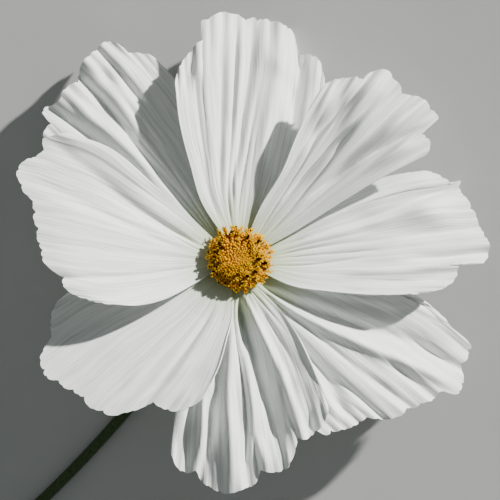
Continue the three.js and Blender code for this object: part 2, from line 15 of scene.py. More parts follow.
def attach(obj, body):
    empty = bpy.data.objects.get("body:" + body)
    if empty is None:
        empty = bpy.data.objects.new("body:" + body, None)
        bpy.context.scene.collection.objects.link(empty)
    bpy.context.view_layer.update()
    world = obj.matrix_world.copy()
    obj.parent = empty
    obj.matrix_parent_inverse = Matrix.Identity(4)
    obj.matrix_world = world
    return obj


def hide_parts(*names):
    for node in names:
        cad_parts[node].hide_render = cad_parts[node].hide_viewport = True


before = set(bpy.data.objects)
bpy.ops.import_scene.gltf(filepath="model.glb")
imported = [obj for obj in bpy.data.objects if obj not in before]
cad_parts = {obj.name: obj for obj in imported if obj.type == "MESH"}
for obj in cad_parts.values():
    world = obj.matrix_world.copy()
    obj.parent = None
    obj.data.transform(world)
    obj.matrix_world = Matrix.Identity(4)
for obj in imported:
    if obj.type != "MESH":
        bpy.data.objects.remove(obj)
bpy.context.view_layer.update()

bl_info = {
    "name": "Cosmos flower",
    "version": (1, 0, 0),
    "blender": (4, 5, 0),
    "location": "View3D > Sidebar > Cosmos",
    "description": "Builds a white cosmos flower with its florets, bracts and cut stem",
    "category": "Add Mesh",
}

MM = 0.001
TAU = 2 * math.pi
GOLDEN_ANGLE = math.pi * (3 - math.sqrt(5))

# Where the head is held: the place of its frame's origin, and its lean.
HEAD_AT = (5.54274, 8.25817, 15.5)
HEAD_TILT = 24.0
HEAD_TILT_TOWARDS = 50.0

# Petals, from the same values as the solids.
CLAW_START = 2.3
CLAW_HALF_WIDTH = 0.8
PETAL_REACH = 43.0
CUP_HEIGHT = 1.2
CUP_RUN = 5.0
STACK_AT_CLAW = 0.5
STACK_AT_MARGIN = 3.2
STACK_RISES = (0, 0.9)
LIFT_RISES = (0.1, 1)
DROOP_POWER = 5
LOBE_FULLNESS = 0.75
FOLD_STATIONS = (0.15, 0.5, 0.9)
FOLD_FADE_BEYOND = 0.12
FOLD_FADE_WITHIN = 0.08
FOLDS_FADE_IN = (0.05, 0.2)
OVERLAP_FROM_EDGE = (0.5, 0.9)
OVERLAP_BELOW_MARGIN = (0.8, 1)

# The least and greatest width of a small lobe of the margin, in the blades alone.
SCALLOP_WIDTHS = (0.9, 2.3)

# Fine lengthwise pleats, in the blades alone: [how many cross a petal, height]. The furrows and
# kinks are drawn at random between two limits: a furrow's half width, depth, middle and half
# length, and a kink's half width, half length, height and place.
PLEATS_FADE_IN = (0.02, 0.25)
PLEATS_AT_CLAW = 0.35
PLEATS_HELD_BACK = 0.75
PLEATS_HELD_NEAR_EDGE = (0.6, 0.95)
PLEATS_FREE_AT_MARGIN = (0.75, 1)
PLEATS_UNEVEN_ACROSS = (0.3, 1.3)
PLEATS_UNEVEN_ALONG = (0.5, 1.3)
PLEAT_BANDS = [[4, 0.42], [9, 0.22], [19, 0.08], [41, 0.025]]
PLEAT_TURNS = ([0.8, 0], [2.4, 1])
PLEAT_WANDER = 0.05
PLEAT_SWAY = 0.3
FURROWS_WITHIN = 0.95
FURROW_LEAN = 0.03
FURROW_SWAY = 0.4
FURROW_LIMITS = ([0.01, 0.04, 0.25, 0.15], [0.026, 0.15, 1.0, 0.45])
KINK_LIMITS = ([0.05, 0.05, -0.75, -0.85, 0.5], [0.14, 0.13, 0.75, 0.85, 0.98])
RIPPLES = (19, 31, 53)
RIPPLE_HEIGHT = 0.08
RIPPLE_HEIGHT_BY_PLEATS = 0.2
RIPPLE_FADE_IN = (0.78, 1)

# A petal's blade thins towards its rim.
THIN_RIM = 0.12
THIN_RIM_SHARE = 0.55

# One entry per petal, counter-clockwise from the right, angles in degrees about the head.
# margin: [angle, radius, bulge of the lobe before it], each entry a notch between two lobes, and
# the first with no lobe before it.
# cw and ccw: share of its final width that each side has at a quarter, a half and three quarters
# of the petal's length. over: which neighbours the petal lies over (1) or under (-1), clockwise
# side first. droop: how far the tip hangs. lift: how far it rises from its claw. pleats: how
# strongly it is finely pleated.
# folds: [u near the base, u half way, u near the margin, half width, height, start, end], with u
# from -1 on the clockwise edge to 1 on the other, and negative heights for furrows. swells:
# [u, v, half width, half length, height].
PETALS = {
    "petal_right": {
        "axis": 7, "cw": [0.5, 0.74, 0.91], "ccw": [0.42, 0.72, 0.92], "over": [0.9, -0.3],
        "droop": 1.5, "lift": 0, "pleats": 1.5,
        "margin": [
            [-11.9, 28], [-7.7, 35, 0.1], [-4.3, 37.4, 0.15], [-1.6, 38.1, 0.1],
            [-0.1, 37.9, 0.05], [0.4, 42.6, 0], [1.5, 43.3, 0.05], [7.2, 43.3, 0.8],
            [10.8, 42.8, 0.2], [13.9, 42.1, 0.35], [18.4, 41.4, 0.35], [19.8, 41.6, 0.05],
            [21.1, 42.3, 0], [21.3, 40.5, 0.05], [23.6, 39, 0.2], [26.9, 37.1, 0.3],
            [28.8, 33.6, 0.2], [33.4, 23.7, 0.2],
        ],
        "folds": [
            [0.26, 0.24, 0.39, 0.055, -1.25, 0.15, 1], [0.38, 0.47, 0.54, 0.08, 0.7, 0.3, 1.1],
            [0.16, 0.16, 0.27, 0.05, 0.45, 0.2, 0.85], [-0.32, -0.33, -0.34, 0.05, -1, 0.7, 1.1],
            [-0.14, -0.1, -0.07, 0.05, -0.6, 0.72, 1.1],
            [-0.4, -0.28, -0.21, 0.03, -0.4, 0.08, 0.45],
            [-0.15, -0.21, -0.26, 0.03, -0.4, 0.08, 0.5],
            [-0.01, -0.06, -0.11, 0.03, -0.35, 0.08, 0.5],
            [-0.74, -0.71, -0.63, 0.07, -0.9, 0.65, 1], [-0.56, -0.53, -0.48, 0.06, 0.6, 0.5, 1],
        ],
        "swells": [[0.17, 0.79, 0.16, 0.1, 1.3]],
    },
    "petal_upper_right": {
        "axis": 48, "cw": [0.27, 0.5, 0.74], "ccw": [0.32, 0.5, 0.79], "over": [1, 1],
        "droop": 0, "lift": 3.5, "pleats": 1.7,
        "margin": [
            [29.5, 36.6], [30.2, 37.5, 0.1], [34.7, 37.5, 0.75], [35.4, 41.7, 0.1],
            [38.4, 41.5, 0.45], [42, 41.5, 0.2], [45.7, 39.4, 0.3], [50.1, 40.6, 0.6],
            [55.2, 39.1, 1], [55.8, 37.1, 0.1], [64.2, 33.3, 0.95], [65.1, 30.7, 0.2],
        ],
        "folds": [
            [0.89, 0.68, 0.47, 0.08, -1.6, 0.66, 0.98], [0.37, 0.29, 0.13, 0.07, -1.6, 0.38, 0.82],
            [-0.13, -0.34, -0.64, 0.07, -1.7, 0.44, 0.88],
            [-0.16, 0.01, 0.18, 0.06, -0.9, 0.15, 0.65],
            [-0.26, -0.27, -0.36, 0.1, 1.2, 0.65, 1.05], [0.08, 0.04, -0.02, 0.1, 1.2, 0.5, 1.1],
            [-0.45, -0.48, -0.58, 0.04, -0.4, 0.1, 0.6], [0.4, 0.55, 0.65, 0.04, -0.4, 0.1, 0.7],
        ],
        "swells": [
            [0.31, 0.9, 0.17, 0.13, 1.8], [-0.73, 0.88, 0.14, 0.12, 1.1],
            [0.24, 0.75, 0.1, 0.1, 1.2], [-0.37, 0.81, 0.1, 0.1, 1.3], [0.5, 0.93, 0.1, 0.09, 0.9],
        ],
    },
    "petal_top": {
        "axis": 86, "cw": [0.5, 0.78, 0.95], "ccw": [0.47, 0.71, 0.9], "over": [-0.3, 0.8],
        "droop": 1, "lift": 0, "pleats": 1.6,
        "margin": [
            [60, 29.7], [63.9, 35.8, 0.1], [67.5, 39.1, 0.1], [72.6, 39.4, 0.45],
            [74.2, 40.8, 0.05], [78.5, 43, 0.6], [81.9, 43.5, 0.2], [84.7, 43.3, 0.3],
            [87.5, 42.9, 0.65], [91, 43.8, 0.5], [94, 43.9, 0.45], [96.4, 42.9, 0.1],
            [98.2, 42.6, 0.2], [98.4, 39.1, 0], [102.2, 37.5, 0.4], [105.8, 35.6, 0.25],
            [109.4, 32.6, 0.2],
        ],
        "folds": [
            [0.28, 0.12, 0.04, 0.05, -1, 0.28, 1], [0.12, -0.01, -0.05, 0.022, -0.35, 0.15, 0.62],
            [0.35, 0.23, 0.2, 0.03, -0.6, 0.15, 0.9], [0.48, 0.37, 0.34, 0.06, -0.8, 0.3, 0.8],
            [-0.36, -0.42, -0.48, 0.12, -1.5, 0.45, 1.1],
            [-0.11, -0.18, -0.24, 0.07, 0.5, 0.4, 1.1], [0.18, 0.16, 0.13, 0.035, 0.35, 0.2, 0.9],
            [0.6, 0.59, 0.55, 0.04, -0.4, 0.5, 1], [0.73, 0.68, 0.65, 0.05, -0.3, 0.2, 0.8],
        ],
    },
    "petal_upper_left": {
        "axis": 130, "cw": [0.45, 0.75, 0.94], "ccw": [0.45, 0.75, 0.94], "over": [-1, -1],
        "droop": 3.5, "lift": 0, "pleats": 1.6,
        "margin": [
            [106, 30.7], [107.5, 35.4, 0.2], [109.4, 38.8, 0.15], [111.2, 40.7, 0.15],
            [115.4, 42.4, 0.1], [116.5, 45.1, 0.25], [117.6, 46.1, 0.05], [120.7, 45.8, 0.3],
            [125.4, 44.9, 0.1], [129.3, 42.4, 0.25], [135.4, 42.2, 0.7], [136.2, 42.1, 0],
            [138.7, 43.3, 0.1], [140.5, 42.9, 0.1], [141.5, 40.5, 0], [145.6, 40, 0.3],
            [153, 34.8, 0.5],
        ],
        "folds": [
            [0.2, 0.22, 0.34, 0.075, -1.5, 0.5, 1.1], [0.08, 0.1, 0.15, 0.07, 0.8, 0.55, 1.1],
            [-0.05, -0.05, -0.06, 0.045, -1.2, 0.72, 1.1],
            [-0.34, -0.34, -0.36, 0.04, -0.9, 0.7, 1.1],
            [-0.19, -0.19, -0.19, 0.07, 0.6, 0.7, 1.1], [0.61, 0.63, 0.68, 0.05, -0.6, 0.3, 0.95],
            [-0.1, -0.17, -0.22, 0.03, -0.35, 0.1, 0.75],
            [0.1, 0.03, -0.07, 0.03, -0.35, 0.1, 0.75], [0.4, 0.42, 0.47, 0.04, -0.3, 0.2, 0.8],
        ],
    },
    "petal_left": {
        "axis": 168, "cw": [0.39, 0.67, 0.93], "ccw": [0.39, 0.72, 0.92], "over": [1, 1],
        "droop": 0, "lift": 2.5, "pleats": 0.15,
        "margin": [
            [144.6, 35.7], [149.7, 38.9, 0.15], [151.9, 37.7, 0], [154.4, 38.4, 0.15],
            [161.1, 39.8, 1.2], [162.4, 38.7, 0.25], [163.4, 38.8, 0.05], [165.6, 36.2, 0.1],
            [168.4, 35.4, 0.35], [172.6, 34.5, 0.6], [178.8, 33.5, 0.5], [184.3, 32.3, 0.65],
            [187.2, 30.1, 0.15], [189.1, 30.6, 0.1], [195.8, 27.4, 0.65], [200.6, 23.8, 0.2],
        ],
        "folds": [
            [0.36, 0.42, 0.5, 0.05, -0.45, 0.25, 1.1], [-0.12, -0.28, -0.41, 0.06, -0.2, 0.3, 0.9],
            [-0.46, -0.59, -0.8, 0.07, -0.7, 0.2, 0.92], [-0.8, -0.88, -0.92, 0.12, 0.8, 0.5, 1.1],
            [0.06, 0.07, 0.08, 0.04, -0.12, 0.1, 0.6],
            [-0.29, -0.51, -0.56, 0.03, -0.15, 0.1, 0.6],
        ],
    },
    "petal_lower_left": {
        "axis": 219, "cw": [0.45, 0.75, 0.94], "ccw": [0.41, 0.65, 0.86], "over": [-1, 1],
        "droop": 0.5, "lift": 0, "pleats": 0.3,
        "margin": [
            [187, 26.5], [191.4, 30.7, 0.2], [194.6, 32.5, 0.2], [202, 34, 0.2], [205.4, 37, 0.1],
            [209.3, 37.7, 0.35], [213.7, 36.5, 0.8], [218, 35.5, 0.55], [221.4, 34.9, 0.35],
            [227.8, 34.3, 0.85], [232.9, 32.5, 0.8], [238.6, 28.3, 0.25], [244.2, 28.3, 0.25],
            [250.6, 26.7, 0.5], [253.8, 25.1, 0.1], [255.6, 22.8, 0.1],
        ],
        "folds": [
            [0.41, 0.41, 0.44, 0.06, -0.5, 0.3, 1.1], [0.28, 0.27, 0.24, 0.04, -0.35, 0.75, 1.1],
            [0.15, 0.14, 0.12, 0.045, -0.4, 0.75, 1.1],
            [-0.13, -0.13, -0.14, 0.045, -0.35, 0.75, 1.1],
            [-0.25, -0.25, -0.25, 0.04, -0.3, 0.75, 1.1],
            [0.04, 0.06, 0.03, 0.025, -0.15, 0.1, 0.6], [0.25, 0.23, 0.17, 0.03, -0.15, 0.15, 0.7],
            [-0.17, -0.08, -0.05, 0.03, -0.12, 0.15, 0.7],
        ],
    },
    "petal_bottom": {
        "axis": 276, "cw": [0.45, 0.73, 0.88], "ccw": [0.42, 0.69, 0.86], "over": [-1, 1],
        "droop": 1.5, "lift": 0, "pleats": 1.4,
        "margin": [
            [248.3, 28.2], [250.4, 33.9, 0.15], [251.8, 35.2, 0.05], [258.4, 35.9, 1],
            [263.3, 38.4, 0.5], [267.9, 39.2, 0.35], [272.6, 38, 0.1], [275.6, 35.5, 0.9],
            [282.9, 35.9, 0.6], [283.6, 35.2, 0], [287.4, 31.7, 0.45], [291.8, 32.1, 0.4],
            [293.6, 31.7, 0], [299, 30.1, 0.35], [301.1, 28.4, 0.1], [301.4, 26.2, 0.1],
        ],
        "folds": [
            [-0.3, -0.4, -0.52, 0.07, -1.2, 0.4, 1.1], [-0.21, -0.27, -0.23, 0.07, 1.1, 0.3, 1.1],
            [-0.24, -0.07, -0.12, 0.035, -0.9, 0.1, 0.88],
            [-0.03, 0.17, 0.26, 0.12, -2, 0.1, 0.85], [0.22, 0.42, 0.53, 0.07, 0.9, 0.15, 1],
            [0.51, 0.68, 0.73, 0.05, -0.5, 0.3, 1], [0.66, 0.87, 0.88, 0.04, -0.6, 0.1, 0.85],
            [-0.69, -0.7, -0.72, 0.07, -1, 0.62, 1.1], [-0.54, -0.56, -0.59, 0.05, 0.6, 0.62, 1.1],
            [0.04, 0, 0.07, 0.07, 0.7, 0.4, 0.95],
        ],
    },
    "petal_lower_right": {
        "axis": 322, "cw": [0.45, 0.75, 0.94], "ccw": [0.45, 0.75, 0.94], "over": [-1, -1],
        "droop": 3.5, "lift": 0, "pleats": 1.2,
        "margin": [
            [294, 29], [296.3, 31.7, 0.2], [299.8, 32.7, 0.6], [308.5, 34.2, 0.25],
            [311.1, 34.2, 0.05], [318.6, 38.3, 0.6], [321, 38.3, 0.05], [324.2, 39.6, 0.5],
            [328.9, 41.3, 0.7], [330, 42, 0.1], [332.1, 44.5, 1], [337.9, 42.7, 0.85],
            [341.3, 43.4, 0.6], [342.3, 43.8, 0], [343.7, 42.1, 0.2], [344.5, 39.6, 0.1],
            [348.2, 36.2, 0.2], [349.5, 32.7, 0.15], [350.4, 28.9, 0.15],
        ],
        "folds": [
            [-0.54, -0.34, -0.5, 0.08, -1.3, 0.1, 0.85],
            [-0.69, -0.52, -0.6, 0.06, 0.6, 0.2, 0.85], [-0.16, 0.08, 0.3, 0.06, 1.1, 0.1, 0.9],
            [-0.01, 0.3, 0.5, 0.09, -1.3, 0.1, 0.85], [0.45, 0.61, 0.93, 0.06, 0.9, 0.1, 1],
            [-0.49, -0.49, -0.49, 0.04, -0.6, 0.78, 1.1],
            [-0.26, -0.27, -0.27, 0.045, -0.8, 0.7, 1.1],
            [-0.02, -0.06, -0.03, 0.045, -0.7, 0.75, 1.1],
            [0.18, 0.18, 0.18, 0.04, -0.6, 0.75, 1.1], [0.41, 0.42, 0.49, 0.045, -0.9, 0.75, 1.1],
            [-0.18, -0.09, -0.08, 0.03, -0.4, 0.1, 0.65],
        ],
    },
}

# The disc, as [radius, height] of its core, and its florets, which open from the rim inwards.
# The shares are of the gap between florets.
DISC_PROFILE = [
    [0, 3.75], [1.2, 3.8], [2.4, 3.72], [3.4, 3.5], [4.3, 3.05], [4.85, 2.6], [4.95, 2.35],
    [4.5, 2.1], [1.8, 1], [1.8, -0.8], [0, -0.8],
]
DISC_SIDES = 48
DOME_POINTS = 6
FLORETS_MIDDLE = (0.1, 0.5)
FLORET_SPREAD = 5.2
FLORET_CROWDING = 0.85
BUD_MIDDLE = (-0.7, 1.0)
BUD_ZONE = 2.5
FLORET_LEAN = 0.85
FLORET_STRAY = 0.14
FLORET_RISE = 0.13
ANGLE_STRAY = 0.03
LEAN_STRAY = 0.06
AXIS_STRAY = 0.05
BUD_SIZES = (0.88, 1.22)
COROLLA_SIZES = (0.85, 1.25)
SEED = 20

# Styles stand on this share of the open florets outside a distance from the middle. Low anthers
# stand on a few of them, as the real disc has, and on more to one side, near the rim, where the
# extra dark anthers are painted shade for the side of the disc away from the key light.
STYLES_SHARE = 0.45
STYLES_FROM = 2.8
STYLE_SIZES = (0.5, 0.75)
STYLE_FEET = (0.7, 1.2)
ANTHERS_SHARE = 0.1
ANTHERS_SHARE_AT_SHADED_SIDE = 0.45
ANTHERS_SHADED_SIDE = 225
ANTHERS_SHADED_SIDE_RISE = (0.2, 0.9)
ANTHERS_RIM_RISE = (2.8, 3.8)
LOW_ANTHER = (0.28, 0.28, 1.1)
LOW_ANTHER_SIZES = (0.9, 1.3)
TALL_ANTHER = (0.27, 0.27, 1.6)
TALL_ANTHER_SIZES = (0.9, 1.1)
TALL_ANTHER_LEAN = 0.6
TALL_ANTHER_SUNK = 0.1
TALL_AXIS_STRAY = 0.1

# The anther tubes that stand clear of the florets: [angle, distance from the florets' middle].
TALL_ANTHERS = [
    [113, 4.1], [70, 3.4], [38, 3.6], [147, 3.9], [153, 3.1], [181, 3.9], [193, 3.3],
    [-7, 2.8], [-16, 3.8], [-46, 3.2], [-100, 2.9], [-73, 3.3],
]

# Bracts and stem.
INNER_BRACTS = 8
OUTER_BRACTS = 8
INNER_PROFILE = [[1.75, -6], [3.9, -4.3], [5.4, -2.7], [7.25, -2.25]]
INNER_HALF_ANGLE = 24.5
INNER_NARROWS = 0.93
INNER_NARROWS_FROM = (0.62, 1.0)
INNER_OVERLAP_FROM = (0.1, 0.4)
INNER_OVERLAP = 0.13
INNER_THICKNESS = 0.22
OUTER_FROM = 1.0
OUTER_COLLAR = 1.35
OUTER_LENGTH = 10
OUTER_TIP = 9.95
OUTER_DROP = 0.9
OUTER_HALF_WIDTH = 0.55
OUTER_WIDENING = 0.4
OUTER_WIDENS_BY = (0, 0.3)
OUTER_NARROWS = 0.95
OUTER_NARROWING_POWER = 2.4
OUTER_SWAY = 0.25
OUTER_FOLD = 0.16
OUTER_WAVE = 0.05
OUTER_HEIGHT = -6.75
OUTER_THICKNESS = 0.3
STEM_TOP_PROFILE = [[2.3, -1.15], [2.9, -1.9], [2.6, -3.2], [1.5, -4.9]]
STEM_TOP = 6
STEM_TOP_RINGS = 14
STEM_LENGTH = 80
STEM_STRIDES = 6000
STEM_RINGS = 161
STEM_SIDES = 32
STEM_RIDGES = 8
STEM_RIDGE_HEIGHT = 0.025
STEM_RIDGES_FADE_IN = (0, 0.2)
STEM_MIDDLE = 0.985
STEM_MAP_LENGTH = 20
STEM_CUT_COLOURS = [(0.20, 0.27, 0.10), (0.42, 0.48, 0.25)]
STEM_HEADING_AT_BEND = 234
STEM_HEADING_AT_END = 219

# How the view is held: the camera's lean from the head's axis, its distance, the width it takes
# in at the head, and how far the head's origin sits left of and below the middle of the view.
VIEW_LEAN = 13.0
VIEW_LEAN_TOWARDS = 236.0
VIEW_DISTANCE = 430.0
VIEW_WIDTH = 85.4
VIEW_OFFSET = (2.2, 2.4)
SENSOR = 36.0
CLIP_START, CLIP_END = 10.0, 10000.0

# Where the key light comes from, as the camera sees it: angle round the view, rise towards it.
KEY_FROM = (38.0, 22.0)
KEY_COLOUR = (1.0, 0.99, 0.97)
FILL_COLOUR = (0.88, 0.96, 0.97, 1)
FLOOR_HALF_WIDTH = 900.0
FLOOR_POINTS = 5


# ---------------------------------------------------------------- shared shapes

def rad(degrees):
    """Degrees as radians."""
    return np.radians(degrees)


def smoothstep(low, high, x):
    """Rises from 0 at low to 1 at high as 3t^2 - 2t^3."""
    t = np.clip((x - low) / (high - low), 0, 1)
    return t * t * (3 - 2 * t)


def hump(x):
    """The bell exp(-x^2)."""
    return np.exp(-x * x)


def lean_turn(angle, towards):
    """The turn that leans +Z by an angle towards a heading, both in degrees."""
    axis = (-math.sin(rad(towards)), math.cos(rad(towards)), 0)
    return Quaternion(axis, rad(angle)).to_matrix()


def place(points):
    """Head frame to row frame, in millimetres: turned by the head's lean, then lifted."""
    return points @ np.array(lean_turn(HEAD_TILT, HEAD_TILT_TOWARDS)).T + np.array(HEAD_AT)


def grid_faces(columns, rows, wrap=False):
    """Quads of a grid of columns by rows, stored column by column. They face the way of the row
    direction crossed with the column direction."""
    last = columns if wrap else columns - 1
    i, j = np.meshgrid(np.arange(last), np.arange(rows - 1), indexing="ij")
    n = (i + 1) % columns
    quads = np.stack([i * rows + j, i * rows + j + 1, n * rows + j + 1, n * rows + j], axis=-1)
    return quads.reshape(-1, 4)


def grid_normals(points):
    """Unit normals of a grid of points: central differences along the rows, crossed with those
    across the columns."""
    normal = np.cross(np.gradient(points, axis=1), np.gradient(points, axis=0))
    return normal / np.maximum(np.linalg.norm(normal, axis=-1, keepdims=True), 1e-12)


def new_object(name, data):
    """An object in the scene at the origin."""
    made = bpy.data.objects.new(name, data)
    bpy.context.scene.collection.objects.link(made)
    return made


def new_piece(name, points, groups, node, material, uv=None, sharp=None):
    """A mesh object from points in millimetres in the row frame and groups of faces, one array
    for each number of sides, riding on the one body and standing for the given node."""
    mesh = bpy.data.meshes.new(name)
    mesh.from_pydata((points * MM).tolist(), [], [face for g in groups for face in g.tolist()])
    if uv is not None:
        corners = np.concatenate([g.reshape(-1) for g in groups])
        layer = mesh.uv_layers.new(name="along")
        layer.data.foreach_set("uv", uv[corners].astype(np.float32).reshape(-1))
    mesh.validate()
    mesh.polygons.foreach_set("use_smooth", np.full(len(mesh.polygons), True))
    if sharp:
        mesh.set_sharp_from_angle(angle=math.radians(sharp))
    mesh.materials.append(material)
    piece = new_object(name, mesh)
    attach(piece, "root")
    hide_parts(node)
    return piece


def blade_mesh(middle, thickness, uv):
    """A closed blade: the middle surface moved half its thickness to each side along its normals,
    with a wall round its rim, and lifted where it would pass under the floor. thickness may vary
    over the grid. Returns its points, its groups of faces and its points' places in the map."""
    columns, rows = middle.shape[:2]
    half = grid_normals(middle) * (np.broadcast_to(thickness, (columns, rows)) / 2)[..., None]
    sides = np.stack([middle + half, middle - half])
    sides[..., 2] += np.maximum(0, -sides[..., 2].min(axis=0))
    count = columns * rows
    top = grid_faces(columns, rows)
    index = np.arange(count).reshape(columns, rows)
    rim = np.concatenate([index[:, -1], index[-1, -2::-1], index[-2::-1, 0], index[0, 1:-1]])
    following = np.roll(rim, -1)
    wall = np.stack([following, rim, rim + count, following + count], axis=-1)
    places = np.tile(uv.reshape(-1, 2), (2, 1))
    return sides.reshape(-1, 3), [top, top[:, ::-1] + count, wall], places


def facing_out(points, groups):
    """The same faces, all turned over if they enclose a negative volume."""
    volume = 0.0
    for group in groups:
        for k in range(1, group.shape[1] - 1):
            a, b, c = points[group[:, 0]], points[group[:, k]], points[group[:, k + 1]]
            volume += np.einsum("ij,ij->", a, np.cross(b, c))
    return groups if volume > 0 else [group[:, ::-1] for group in groups]


def closed_rings(grid, ends):
    """A closed surface from a grid of points, angles by rows, that wraps round. Its first and
    last rows are closed to the two end points."""
    count, rows = grid.shape[:2]
    points = np.concatenate([grid.reshape(-1, 3), ends])
    first = np.arange(count) * rows
    last = first + rows - 1
    end = np.full(count, count * rows)
    caps = [np.stack([end, first, np.roll(first, -1)], axis=-1),
            np.stack([end + 1, np.roll(last, -1), last], axis=-1)]
    return points, facing_out(points, [grid_faces(count, rows, wrap=True), np.concatenate(caps)])


def turned(radius, height):
    """A closed surface of revolution about Z: (r cos a, r sin a, h), with the radius and the
    height given on a grid of angles by rows."""
    angle = ring_angles(len(radius))[:, None]
    grid = np.stack([radius * np.cos(angle), radius * np.sin(angle), height], axis=-1)
    return closed_rings(grid, [[0, 0, height[:, 0].mean()], [0, 0, height[:, -1].mean()]])


def tube(centres, sides, overs, radii):
    """A closed tube: at each station a ring centre + radius (side cos a + over sin a), with the
    radius given for every station and angle."""
    angles = ring_angles(radii.shape[1])
    ring = (centres[:, None] + radii[..., None]
            * (sides[:, None] * np.cos(angles)[None, :, None]
               + overs[:, None] * np.sin(angles)[None, :, None]))
    return closed_rings(np.swapaxes(ring, 0, 1), centres[[0, -1]])


def ring_angles(count):
    """Equally spaced angles round a circle."""
    return TAU * np.arange(count) / count


def repeated(shape, turns, places, sizes):
    """Copies of one closed shape, each scaled, turned by its matrix and moved."""
    points, groups = shape
    spread = np.einsum("kij,nj->kni", turns, points) * sizes[:, None, None] + places[:, None, :]
    steps = (np.arange(len(places)) * len(points))[:, None, None]
    return spread.reshape(-1, 3), [(g + steps).reshape(-1, g.shape[1]) for g in groups]


def joined(shapes):
    """Several shapes as one: their points in a row, their groups of faces to match."""
    starts = np.cumsum([0] + [len(points) for points, _ in shapes])
    groups = [g + start for (_, groups), start in zip(shapes, starts) for g in groups]
    return np.concatenate([points for points, _ in shapes]), groups


def turns_to(directions, spins):
    """Matrices that turn +Z to each direction after a spin about Z."""
    z = directions / np.linalg.norm(directions, axis=1, keepdims=True)
    helper = np.where(np.abs(z[:, :1]) < 0.9, [[1.0, 0, 0]], [[0, 1.0, 0]])
    x = np.cross(helper, z)
    x /= np.linalg.norm(x, axis=1, keepdims=True)
    y = np.cross(z, x)
    c, s = np.cos(spins)[:, None], np.sin(spins)[:, None]
    return np.stack([x * c + y * s, y * c - x * s, z], axis=-1)


def leaning(angle, heading):
    """Unit vectors that lean from +Z by an angle towards a heading, both in radians."""
    return np.stack([np.sin(angle) * np.cos(heading), np.sin(angle) * np.sin(heading),
                     np.cos(angle)], axis=-1)


def through(values, x):
    """A smooth (Catmull-Rom) curve through equally spaced values over 0 to 1."""
    values = np.asarray(values, float)
    last = len(values) - 1
    padded = np.concatenate([[2 * values[0] - values[1]], values, [2 * values[-1] - values[-2]]])
    i = np.clip(np.floor(x * last).astype(int), 0, last - 1)
    t = x * last - i
    a, b, c, d = padded[i], padded[i + 1], padded[i + 2], padded[i + 3]
    return (b + t * (c - a) / 2 + t * t * (2 * a - 5 * b + 4 * c - d) / 2
            + t ** 3 * (3 * b - a - 3 * c + d) / 2)


# ---------------------------------------------------------------- petals

def margin_columns(petal, column_width):
    """u, angle and radius of every column's end on the margin. Between two notches the radius is
    their straight blend plus bulge (4 s (1 - s))^fullness, and every notch has a column."""
    notches = petal["margin"]
    first, span = notches[0][0], notches[-1][0] - notches[0][0]
    angles, radii = [np.array([notches[0][0]])], [np.array([notches[0][1]])]
    for (angle0, radius0, *_), (angle1, radius1, bulge) in zip(notches, notches[1:]):
        width = math.hypot(rad(angle1 - angle0) * radius1, radius1 - radius0)
        count = max(3, round(width / column_width))
        s = np.arange(1, count + 1) / count
        angles.append(angle0 + (angle1 - angle0) * s)
        radii.append(radius0 + (radius1 - radius0) * s + bulge * (4 * s * (1 - s)) ** LOBE_FULLNESS)
    angle, radius = np.concatenate(angles), np.concatenate(radii)
    return 2 * (angle - first) / span - 1, angle, radius


def scallops(random, along, depth):
    """How far a margin is drawn back between its small lobes, at the given distances along it:
    by depth times a random share at each notch, and by 1 - sqrt(4 s (1 - s)) of that between."""
    narrow, wide = SCALLOP_WIDTHS
    notches = np.cumsum(random.uniform(narrow, wide, int(along[-1] / narrow) + 3)) - wide
    share = random.uniform(0.1, 1, len(notches))
    k = np.searchsorted(notches, along, side="right")
    s = (along - notches[k - 1]) / (notches[k] - notches[k - 1])
    drawn = share[k - 1] * (1 - s) + share[k] * s
    return depth * drawn * (1 - np.sqrt(4 * s * (1 - s)))


def parabola(places, values, x):
    """The parabola that takes three values at three places, in Lagrange's form."""
    total = 0
    for k, (place_k, value) in enumerate(zip(places, values)):
        one, two = (p for j, p in enumerate(places) if j != k)
        total = total + value * (x - one) * (x - two) / ((place_k - one) * (place_k - two))
    return total


def fold_sum(petal, u, v):
    """Sum of lengthwise folds, each height exp(-(du / width)^2) about a line that curves through
    its three given places, fading in at its start and out at its end, and of the swells, each
    height exp(-(du / width)^2 - (dv / length)^2). Those that would meet the neighbour fade out
    where the two overlap."""
    near_edge = (smoothstep(*OVERLAP_FROM_EDGE, np.abs(u))
                 * (1 - smoothstep(*OVERLAP_BELOW_MARGIN, v)))
    side = np.where(u < 0, petal["over"][0], petal["over"][1])
    total = np.zeros(np.broadcast(u, v).shape)
    for *line, width, height, start, end in petal["folds"]:
        fold = (height * hump((u - parabola(FOLD_STATIONS, line, v)) / width)
                * smoothstep(start - FOLD_FADE_BEYOND, start + FOLD_FADE_WITHIN, v)
                * (1 - smoothstep(end - FOLD_FADE_WITHIN, end + FOLD_FADE_BEYOND, v)))
        total += np.where(height * side < 0, fold * (1 - near_edge), fold)
    for u0, v0, width, length, height in petal.get("swells", []):
        total += height * hump((u - u0) / width) * hump((v - v0) / length)
    return total


def smooth_noise(random, x, low=-1.0, high=1.0):
    """A smooth random curve over x: random heights at whole numbers, blended by 3t^2 - 2t^3."""
    first = int(np.floor(x.min())) - 1
    heights = random.uniform(low, high, int(np.ceil(x.max())) - first + 3)
    i = np.floor(x).astype(int) - first
    t = smoothstep(0, 1, x - np.floor(x))
    return heights[i] * (1 - t) + heights[i + 1] * t


